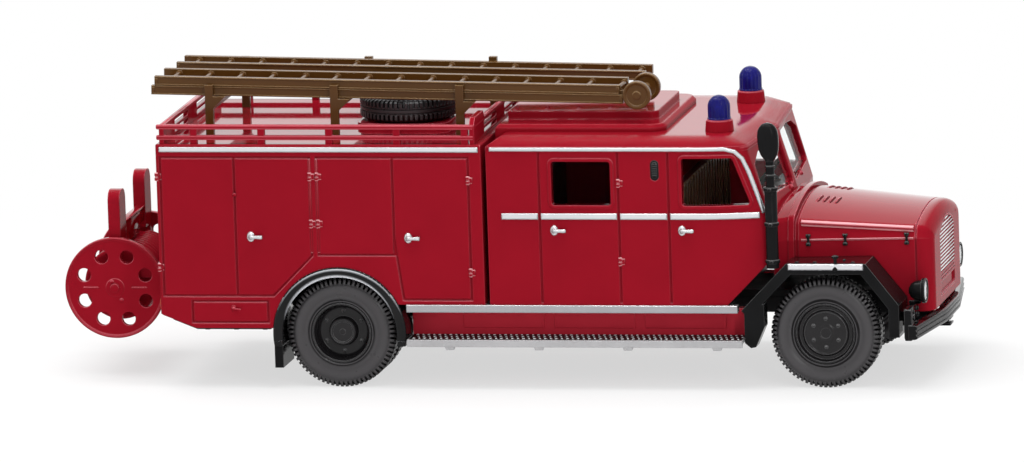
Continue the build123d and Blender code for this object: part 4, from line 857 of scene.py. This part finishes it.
def make_headlights():
    """Bowl, mirror, bulb and glass of each lamp, as (radius, ahead of the glass's front)."""
    lo, hi, mid = box_mm("headlight_lenses")
    foot = box_mm("headlight_housings")[0]
    z, r = mid.z, (hi.z - lo.z) / 2
    at, y = (hi.x, hi.y - r, z), hi.y - r
    bowl = ((0, -1.75), (0.35, -1.72), (0.7, -1.5), (0.95, -1.1), (r - 0.06, -0.6), (r, -0.42),
            (r + 0.13, -0.4), (r + 0.16, -0.3), (r + 0.14, -0.06), (r + 0.06, 0.0),
            (r - 0.06, -0.02), (r - 0.1, -0.12), (r - 0.22, -0.5), (0.5, -1.1), (0, -1.2))
    mirror = ((0, -0.95), (0.3, -0.9), (0.6, -0.7), (r - 0.24, -0.4), (r - 0.1, -0.14),
              (r - 0.16, -0.12), (r - 0.3, -0.36), (0.58, -0.62), (0.28, -0.82), (0, -0.86))
    glass = ((0, 0.0), (0.5, -0.03), (r - 0.3, -0.09), (r - 0.09, -0.14), (r - 0.09, -0.22),
             (r - 0.3, -0.17), (0.5, -0.12), (0, -0.1))
    piece("headlight_bowls", "black_plastic", lathe(bowl, "x", at, LAMP_STEPS),
          slab(hi.x - 1.25, hi.x - 0.6, y - 0.32, y + 0.32, foot.z, z - 0.6),
          slab(foot.x, hi.x - 0.6, y - 0.32, y + 0.32, foot.z, foot.z + 0.35),
          replaces=["headlight_housings"])
    piece("headlight_mirrors", "silver_print", lathe(mirror, "x", at, LAMP_STEPS),
          lathe(BULB, "x", at, 16), look="lamp_mirror")
    piece("headlight_glass", "clear", lathe(glass, "x", at, LAMP_STEPS),
          replaces=["headlight_lenses"])


# ---- bumper
BUMPER_MID = 3.6  # half its straight middle
BUMPER_SWEEP = 1.3
BUMPER_T = 0.9
HORN_Z = (5.32, 6.28)  # the arms that carry it
# The bar's section, as (behind the front line, z), with two long beads and grooves.
BUMPER_SECTION = ((0.9, 5.1), (0.25, 5.1), (0.08, 5.16), (0.0, 5.3), (0.0, 5.42), (0.13, 5.5),
                  (0.13, 5.62), (0.0, 5.7), (0.0, 5.9), (0.13, 5.98), (0.13, 6.1), (0.0, 6.18),
                  (0.0, 6.3), (0.08, 6.44), (0.25, 6.5), (0.9, 6.5))


def make_bumper():
    """A swept, beaded bar with end plates, bolts and the arms behind it."""
    lo, hi, _ = box_mm("bumper")
    front, half, swept = hi.x, hi.y, hi.x - BUMPER_SWEEP
    lean = BUMPER_SWEEP / (half - BUMPER_MID) / 2
    rows = [[(x - d, y - d * slope, z) for d, z in BUMPER_SECTION]
            for x, y, slope in ((swept, -half, 0), (front, -BUMPER_MID, -lean),
                                (front, BUMPER_MID, lean), (swept, half, 0))]
    end = swept - BUMPER_T
    bolts = [pin("x", (0, y, z), 0.22, end, end + 0.42, 0.08, 12)
             for y in (9.6, 12.0) for z in (7.0, 7.6)]
    sides = merge(slab(end - 0.45, end + 0.22, 8.8, 13.3, 5.1, 8.1, 0.12),
                  slab(end - 0.4, end + 0.34, 12.75, 13.35, 4.95, 8.0, 0.12),
                  slab(lo.x, front - BUMPER_T, 3.45, 4.55, *HORN_Z), *bolts)
    cross = slab(lo.x, lo.x + 0.8, -4.0, 4.0, *HORN_Z)
    piece("ribbed_bumper", "black_plastic", skin(rows), cross, mirrored(sides.copy()), sides,
          pair=False, replaces=["bumper"], smooth=30)


def make_coupling():
    """The tow jaw under the bumper, with its pin."""
    lo, hi, mid = box_mm("tow_coupling")
    y = hi.y
    cheeks = [slab(lo.x, hi.x, -y, y, z, z + 0.28) for z in (lo.z, hi.z - 0.3)]
    piece("tow_jaw", "black_plastic", slab(lo.x, lo.x + 0.5, -y, y, lo.z, hi.z, 0.06),
          pin("z", (mid.x + 0.25, 0, 0), 0.2, lo.z - 0.12, hi.z + 0.12, 0.08, 16), *cheeks,
          pair=False, replaces=["tow_coupling"])


# ---- beacons
FLUTES, FLUTE_DEPTH = 16, 0.07


def make_beacons():
    """Blue domes, fluted above their rim, over a bright inner lamp and a red collar."""
    lo, hi, mid = box_mm("beacon_domes")
    r, foot = (hi.x - lo.x) / 2, lo.z
    at, crown = (mid.x, hi.y - r, 0), hi.z - r
    dome = [(0, foot), (r - 0.1, foot), (r, foot + 0.08), (r, foot + 0.2), (r - 0.06, foot + 0.26)]
    dome += [((r - 0.06) * a, crown + (r - 0.01) * b) for a, b in arc(1, 12, pi / 24)]
    glass = lathe([*dome, (0, hi.z)], "z", at, FLUTES * 6)
    for vert in glass.verts:
        off = Vector((vert.co.x - at[0], vert.co.y - at[1], 0))
        if foot + 0.25 < vert.co.z < crown + r / 2 and off.length > 0:
            wave = 0.5 + 0.5 * cos(FLUTES * atan2(off.y, off.x))
            vert.co -= off.normalized() * wave * FLUTE_DEPTH
    piece("beacon_bulbs", "silver_print", pin("z", at, r * 0.42, foot + 0.1, crown + 0.1, 0.3),
          look="lamp_mirror")
    piece("beacon_glass", "blue_clear", glass, replaces=["beacon_domes"])
    cup = ((0, foot - 0.06), (r + 0.05, foot - 0.06), (r + 0.06, foot + 0.02),
           (r + 0.03, foot + 0.07), (0, foot + 0.07))
    piece("beacon_collars", "red_plastic", lathe(cup, "z", at))


# ---- air intake
INTAKE_FOOT_Z, INTAKE_NECK_Z = 12.1, 20.1
INTAKE_CLAMPS = (12.75, 16.45, 19.95)
INTAKE_NECK_RINGS = (5.2, 4.3)  # below the crown
INTAKE_R, INTAKE_NECK_R = 0.62, 0.42
# The intake's head, from its neck to its crown, as (z below the crown, half length, half width).
INTAKE_HEAD = ((3.75, 0.42, 0.42), (3.5, 0.62, 0.5), (3.2, 0.82, 0.6), (2.7, 0.98, 0.68),
               (2.0, 1.05, 0.72), (1.3, 1.05, 0.72), (0.8, 0.98, 0.68), (0.4, 0.8, 0.56),
               (0.12, 0.5, 0.36), (0.0, 0.16, 0.12))
HEAD_BACK = 0.15  # how far the head leans back over the pipe
HEAD_SQUARE = 0.8  # under 1 is squarer than an ellipse


def make_intake():
    """A pipe with clamps, a neck with rings and a flattened head."""
    lo, hi, mid = box_mm("air_intake")
    x, y, r, neck = lo.x + 1.2, mid.y, INTAKE_R, INTAKE_NECK_R
    at = (x, y, 0)
    shapes = [lathe(((0, INTAKE_FOOT_Z), (r, INTAKE_FOOT_Z), (r, INTAKE_NECK_Z - 0.1),
                     (r - 0.08, INTAKE_NECK_Z), (neck + 0.05, INTAKE_NECK_Z + 0.05),
                     (neck, INTAKE_NECK_Z + 0.3), (neck, hi.z - 3.6), (0, hi.z - 3.6)),
                    "z", at, 32)]
    for z in INTAKE_CLAMPS:
        band = symmetric(((r - 0.1, -0.17), (r + 0.07, -0.17), (r + 0.11, -0.1)), 1, -1)
        shapes += [lathe(band, "z", (x, y, z), 32, True),
                   pin("y", (x, 0, z), 0.16, y - r - 0.24, y - r, 0.05, 12)]
    ring = symmetric(((0.3, -0.08), (neck + 0.06, -0.05)), 1, -1)
    shapes += [lathe(ring, "z", (x, y, hi.z - drop), 24, True) for drop in INTAKE_NECK_RINGS]
    rows = []
    for drop, long, wide in INTAKE_HEAD:
        centre = x - HEAD_BACK + HEAD_BACK * (drop / INTAKE_HEAD[0][0]) ** 2
        rows.append([(centre + long * copysign(abs(a) ** HEAD_SQUARE, a),
                      y + wide * copysign(abs(b) ** HEAD_SQUARE, b), hi.z - drop)
                     for a, b in arc(1, 28)])
    piece("ribbed_intake", "black_plastic", *shapes, skin(rows), pair=False,
          replaces=["air_intake"], smooth=50)


# ---- ladders
LADDER_TILT = radians(1.1)
LADDER_LIP = (0.16, 0.07)  # the beams' edge flanges: height, and out of the face
BEAM_H, BEAM_T = 0.9, 0.6
RUNG_START, RUNG_PITCH = 1.6, 3.2
# Each ladder's CAD node and the (outer) half width from its own middle.
LADDERS = (("ladder_lower", 2.5), ("ladder_upper", 2.5), ("plug_ladder", 2.15))
ROLLER_T = 0.7
# The roller's face from its hub to its rim, as (radius, in from the face).
ROLLER_FACE = ((0.0, 0.0), (0.3, 0.0), (0.38, 0.0), (0.42, 0.1), (1.02, 0.14), (1.1, 0.06),
               (1.18, 0.0), (1.32, 0.0), (1.4, 0.08))


def make_ladder_details():
    """Flanges along the beams, which leave a channel between them, and collars at the rungs."""
    height, out = LADDER_LIP
    shapes = []
    for node, half in LADDERS:
        lo, hi, mid = box_mm(node)
        length = (hi.x - lo.x) / cos(LADDER_TILT)
        rungs = int((length - RUNG_START) / RUNG_PITCH) + 1
        flat = []
        for side in (-1, 1):
            outer = sorted((side * half, side * (half + out)))
            inner = sorted((side * (half - BEAM_T), side * (half - BEAM_T - 0.14)))
            flat += [slab(0.0, length - 0.05, *outer, z, z + height, 0.03, 1)
                     for z in (0.0, BEAM_H - height)]
            flat += [slab(x, x + 0.3, *outer, height, BEAM_H - height, 0.03, 1)
                     for x in (0.0, length - 0.35)]
            flat += [pin("y", (RUNG_START + i * RUNG_PITCH, 0, BEAM_H / 2), 0.36, *inner, 0.05, 14)
                     for i in range(rungs)]
        tilted = moved(merge(*flat), Matrix.Rotation(LADDER_TILT, 4, "Y"))
        shapes.append(shifted(tilted, lo.x, mid.y, hi.z - BEAM_H * cos(LADDER_TILT)))
    piece("ladder_flanges", "ladder_brown", *shapes, pair=False)


def make_rollers():
    """Grooved rollers on an axle, each with the end of its fork inside it."""
    lo, hi, mid = box_mm("ladder_rollers")
    r, z = (hi.z - lo.z) / 2, mid.z
    x = hi.x - r
    side = ((x - r - 0.9, 0.42), (x - r - 0.1, 0.42), (x + 0.25, 0.25))
    fork = [(a, z - h) for a, h in side] + [(x + 0.45, z)] + [(a, z + h) for a, h in side[::-1]]
    shapes = [pin("y", (x, 0, z), 0.35, lo.y + 0.2, hi.y - 0.2, 0.05)]
    for y0, inside in ((lo.y, 0.5), (hi.y - ROLLER_T, -0.5)):
        y1, y = y0 + ROLLER_T, y0 + ROLLER_T / 2 + inside
        face = [(a * r / 1.4, d) for a, d in ROLLER_FACE]
        wheel = [(a, y0 + d) for a, d in face] + inward(y1, face[::-1])
        shapes += [lathe(wheel, "y", (x, 0, z), 40), prism(fork, "y", y - 0.13, y + 0.13, 0.05)]
    piece("grooved_rollers", "ladder_brown", *shapes, pair=False, replaces=["ladder_rollers"])


# ---- roof railing
RAIL_BAR = 0.45
RAIL_TOPS = (1.9, 0.85)  # the two bars' tops above the box's roof
RAIL_TIP = 0.3  # the bars run past the rear end board by this


def make_rail_tubes():
    """Half-round faces on the railing's bars, with rounded ends past the end board and a
    painted sheen where they face up.
    """
    lo, hi, _ = box_mm("roof_railing")
    roof, half = box_mm("box_body")[1].z, RAIL_BAR / 2
    piece("rail_tubes", "red_plastic",
          *[pin("x", (0, hi.y - 0.16, roof + top - half), half + 0.03, lo.x - RAIL_TIP,
                hi.x - 0.1, 0.12, 16) for top in RAIL_TOPS], look="red_painted_sheen")
    piece("end_board_tubes", "red_plastic",
          *[pin("y", (x, 0, roof + RAIL_TOPS[0] - half), half + 0.04, 0.2 - hi.y, hi.y - 0.2,
                0.1, 16) for x in (lo.x + 0.25, hi.x - 0.25)], pair=False, look="red_painted_sheen")


# ---- hose reel
REEL_HOLES, REEL_HOLE_R, REEL_HOLE_CIRCLE = 8, 0.68, 3.35
REEL_RIM = 0.3  # width of the raised rim of each disc
REEL_RIB = (2.45, 0.75)  # a rib on each side: its middle's distance, its half length
REEL_STUDS = ((0.62, -1.25), (-0.3, 0.62))
HOSE_TURNS = 13
REEL_GUARD_Z = (12.75, 13.6, 15.2)  # its foot, the top of its notch, and its top
REEL_GUARD_HALF, REEL_NOTCH_Y = 4.6, 2.4


def pierced_disc(x, z, r, y0, y1):
    """A flat disc with a circle of round holes, from y0 to y1."""
    shape = bmesh.new()
    holes = arc(REEL_HOLE_CIRCLE, REEL_HOLES, start=pi / REEL_HOLES, at=(x, z))
    for loop in [arc(r, 96, at=(x, z)), *[arc(REEL_HOLE_R, 28, at=hole) for hole in holes]]:
        verts = [shape.verts.new((a, y0, b)) for a, b in loop]
        for i in range(len(verts)):
            shape.edges.new((verts[i - 1], verts[i]))
    flat = bmesh.ops.triangle_fill(shape, edges=shape.edges[:], use_beauty=True,
                                   use_dissolve=False)["geom"]
    grown = bmesh.ops.extrude_face_region(
        shape, geom=[f for f in flat if isinstance(f, bmesh.types.BMFace)], use_keep_orig=True)
    top = [v for v in grown["geom"] if isinstance(v, bmesh.types.BMVert)]
    bmesh.ops.translate(shape, vec=(0, y1 - y0, 0), verts=top)
    return shape


def make_reel_discs():
    """The reel's discs: a plain face with a slim rounded rim, ribs and a small hub."""
    lo, hi, mid = box_mm("reel_discs")
    x, z, r, at = mid.x, mid.z, (hi.x - lo.x) / 2, (mid.x, 0, mid.z)
    inner, face = hi.y - 0.8, hi.y - 0.3
    raised = ((r - REEL_RIM - 0.1, inner + 0.06), (r - 0.08, inner + 0.02), (r, inner + 0.1),
              (r, face + 0.02), (r - 0.06, face + 0.09), (r - 0.16, face + 0.1),
              (r - REEL_RIM, face - 0.02))
    tip = max(face + 0.3, box_mm("reel_axle")[1].y + 0.03)
    hub = ((0, face - 0.1), (0.9, face - 0.1), (0.9, face + 0.02), (0.8, face + 0.08),
           (0.42, face + 0.1), (0.36, tip - 0.05), (0.2, tip), (0, tip))
    far, half = REEL_RIB
    ribs = [slab(a - half, a + half, face - 0.05, face + 0.05, z - 0.05, z + 0.05, 0.03, 1)
            for a in (x - far, x + far)]
    studs = [pin("y", (x + a, 0, z + b), 0.17, face - 0.05, face + 0.22, 0.08, 12)
             for a, b in REEL_STUDS]
    piece("reel_side_discs", "red_plastic", pierced_disc(x, z, r - 0.05, inner, face),
          lathe(raised, "y", at, 96, True), lathe(hub, "y", at, 32), *ribs, *studs,
          body="hose_reel", replaces=["reel_discs"], smooth=30)


def make_hose():
    """The rolled hose: rounded turns side by side."""
    lo, hi, mid = box_mm("hose_winding")
    bend = (hi.y - lo.y) / HOSE_TURNS / 2
    valley = (hi.x - lo.x) / 2 - bend
    profile = [(0, lo.y), (valley, lo.y)]
    for turn in range(HOSE_TURNS):
        profile += arc(bend, 8, pi / 8, -pi / 2 + pi / 8, (valley, lo.y + (2 * turn + 1) * bend))
    piece("hose_turns", "red_plastic", lathe([*profile, (0, hi.y)], "y", (mid.x, 0, mid.z), 56),
          pair=False, body="hose_reel", replaces=["hose_winding"], smooth=50)


def make_reel_guard():
    """The cross plate between the upright blades, with a notch at each end of its foot."""
    x = box_mm("reel_carrier")[0].x + 0.6
    foot, notch, top = REEL_GUARD_Z
    side = ((REEL_NOTCH_Y, foot), (REEL_NOTCH_Y, notch), (REEL_GUARD_HALF, notch),
            (REEL_GUARD_HALF, top - 0.1))
    plate = prism(symmetric(side, -1, 1), "x", x - 0.15, x + 0.45, 0.08)
    piece("reel_guard", "red_plastic", plate,
          slab(x - 0.25, x + 0.55, -REEL_GUARD_HALF, REEL_GUARD_HALF, top - 0.3, top, 0.1),
          pair=False)


# ---- under the tail
TAIL_PAN = ((-31.95, 7.12), (-29.5, 6.2), (-22.0, 6.2), (-22.0, 5.9), (-29.45, 5.9),
            (-31.85, 6.85))
TAIL_RIB_XS = (-28.6, -25.7, -22.8)


def make_tail_pan():
    """The black floor pan that shows as a dark edge under the tail."""
    ribs = [slab(x - 0.25, x + 0.25, -12.6, 12.6, 5.72, 6.0, 0.06) for x in TAIL_RIB_XS]
    piece("tail_pan", "chassis_black", prism(TAIL_PAN, "y", -13.35, 13.35, 0.08), *ribs,
          pair=False)


# ---- fender fittings
MARKER = (34.6, 13.3, 0)  # where each fender's marker post stands
MARKER_POST = ((0, 11.9), (0.3, 11.9), (0.33, 12.1), (0.24, 12.25), (0.17, 12.4), (0.17, 13.1),
               (0.3, 13.16), (0.36, 13.26), (0.34, 13.38), (0.22, 13.46), (0, 13.48))
FENDER_TOP = 12.6
FENDER_BOLTS, FENDER_BOLT_Y = (30.6, 32.4, 36.2), 12.4
FENDER_EDGE_X = (29.9, 37.4)


def make_fender_fittings():
    """Each front fender's marker post and stud, the rounded edge of its lip, and its bolts."""
    x, y, _ = MARKER
    piece("fender_posts", "black_plastic", lathe(MARKER_POST, "z", MARKER, 20),
          pin("y", (x + 0.9, 0, 12.95), 0.14, y - 0.4, y + 0.1, 0.06, 12))
    bolts = [pin("z", (x, FENDER_BOLT_Y, 0), 0.2, FENDER_TOP - 0.05, FENDER_TOP + 0.09, 0.05, 12)
             for x in FENDER_BOLTS]
    lip = (0, box_mm("front_fenders")[1].y - 0.1, FENDER_TOP - 0.08)
    piece("fender_edges", "black_plastic", pin("x", lip, 0.13, *FENDER_EDGE_X, 0.05, 12), *bolts)


# ---- grille
SLAT_Z0, SLAT_PITCH, SLATS = 10.15, 0.36, 14
SLAT_H = 0.17
SLAT_X = (43.25, 43.41)
GRILLE_HALF, GRILLE_SPRING_Z, GRILLE_TOP_Z = 3.88, 14.0, 15.03


def make_grille_bars():
    """Bright bars across the grille, shorter towards its arched top."""
    rise = GRILLE_TOP_Z - GRILLE_SPRING_Z
    r = (GRILLE_HALF ** 2 + rise ** 2) / (2 * rise)
    shapes = []
    for z in (SLAT_Z0 + i * SLAT_PITCH for i in range(SLATS)):
        half, top = GRILLE_HALF, z + SLAT_H
        if top > GRILLE_SPRING_Z:
            half = sqrt(r ** 2 - (top - (GRILLE_TOP_Z - r)) ** 2)
        shapes.append(slab(*SLAT_X, -half, half, z + 0.01, top - 0.01, 0.04, 1))
    piece("grille_bars", "silver_print", *shapes, pair=False, look="lamp_mirror")


# ---- arch lips
LIP_RING_R = 6.2  # from the rear axle to the middle of each lip
LIP_R, LIP_PROUD = 0.5, 0.3
LIP_FROM, LIP_SWEEP, LIP_STEPS = radians(-6), radians(192), 48


def make_arch_lips():
    """Half-round glossy lips along the mouth of each rear wheel arch, with a painted highlight
    where they face up.
    """
    axle, y = box_mm("rear_axle")[2], box_mm("rear_arch_liners")[1].y - LIP_PROUD + 0.1
    rows = [[(axle.x + (LIP_RING_R + LIP_R * b) * c, y + LIP_PROUD * a,
              axle.z + (LIP_RING_R + LIP_R * b) * s) for a, b in arc(1, 12)]
            for c, s in arc(1, LIP_STEPS + 1, LIP_SWEEP / LIP_STEPS, LIP_FROM)]
    piece("arch_lips", "black_plastic", skin(rows), look="lip_painted_highlight")


# ---- everything together
scene.view_settings.view_transform = "Standard"
for make in (make_camera, make_world, make_floor, make_lamps, dress_nodes, make_tyres, make_rims,
             make_spare_wheel, make_hinges, make_handles, make_door_beads, make_boards,
             make_sill_panels, make_indicators, make_tail_lamps, make_louvres, make_latches,
             make_bonnet_lines, make_wiper_pivots, make_headlights, make_bumper, make_coupling,
             make_beacons, make_intake, make_ladder_details, make_rollers, make_rail_tubes,
             make_spare_clamp, make_reel_discs, make_hose, make_reel_guard, make_tail_pan,
             make_fender_fittings, make_grille_bars, make_arch_lips):
    make()
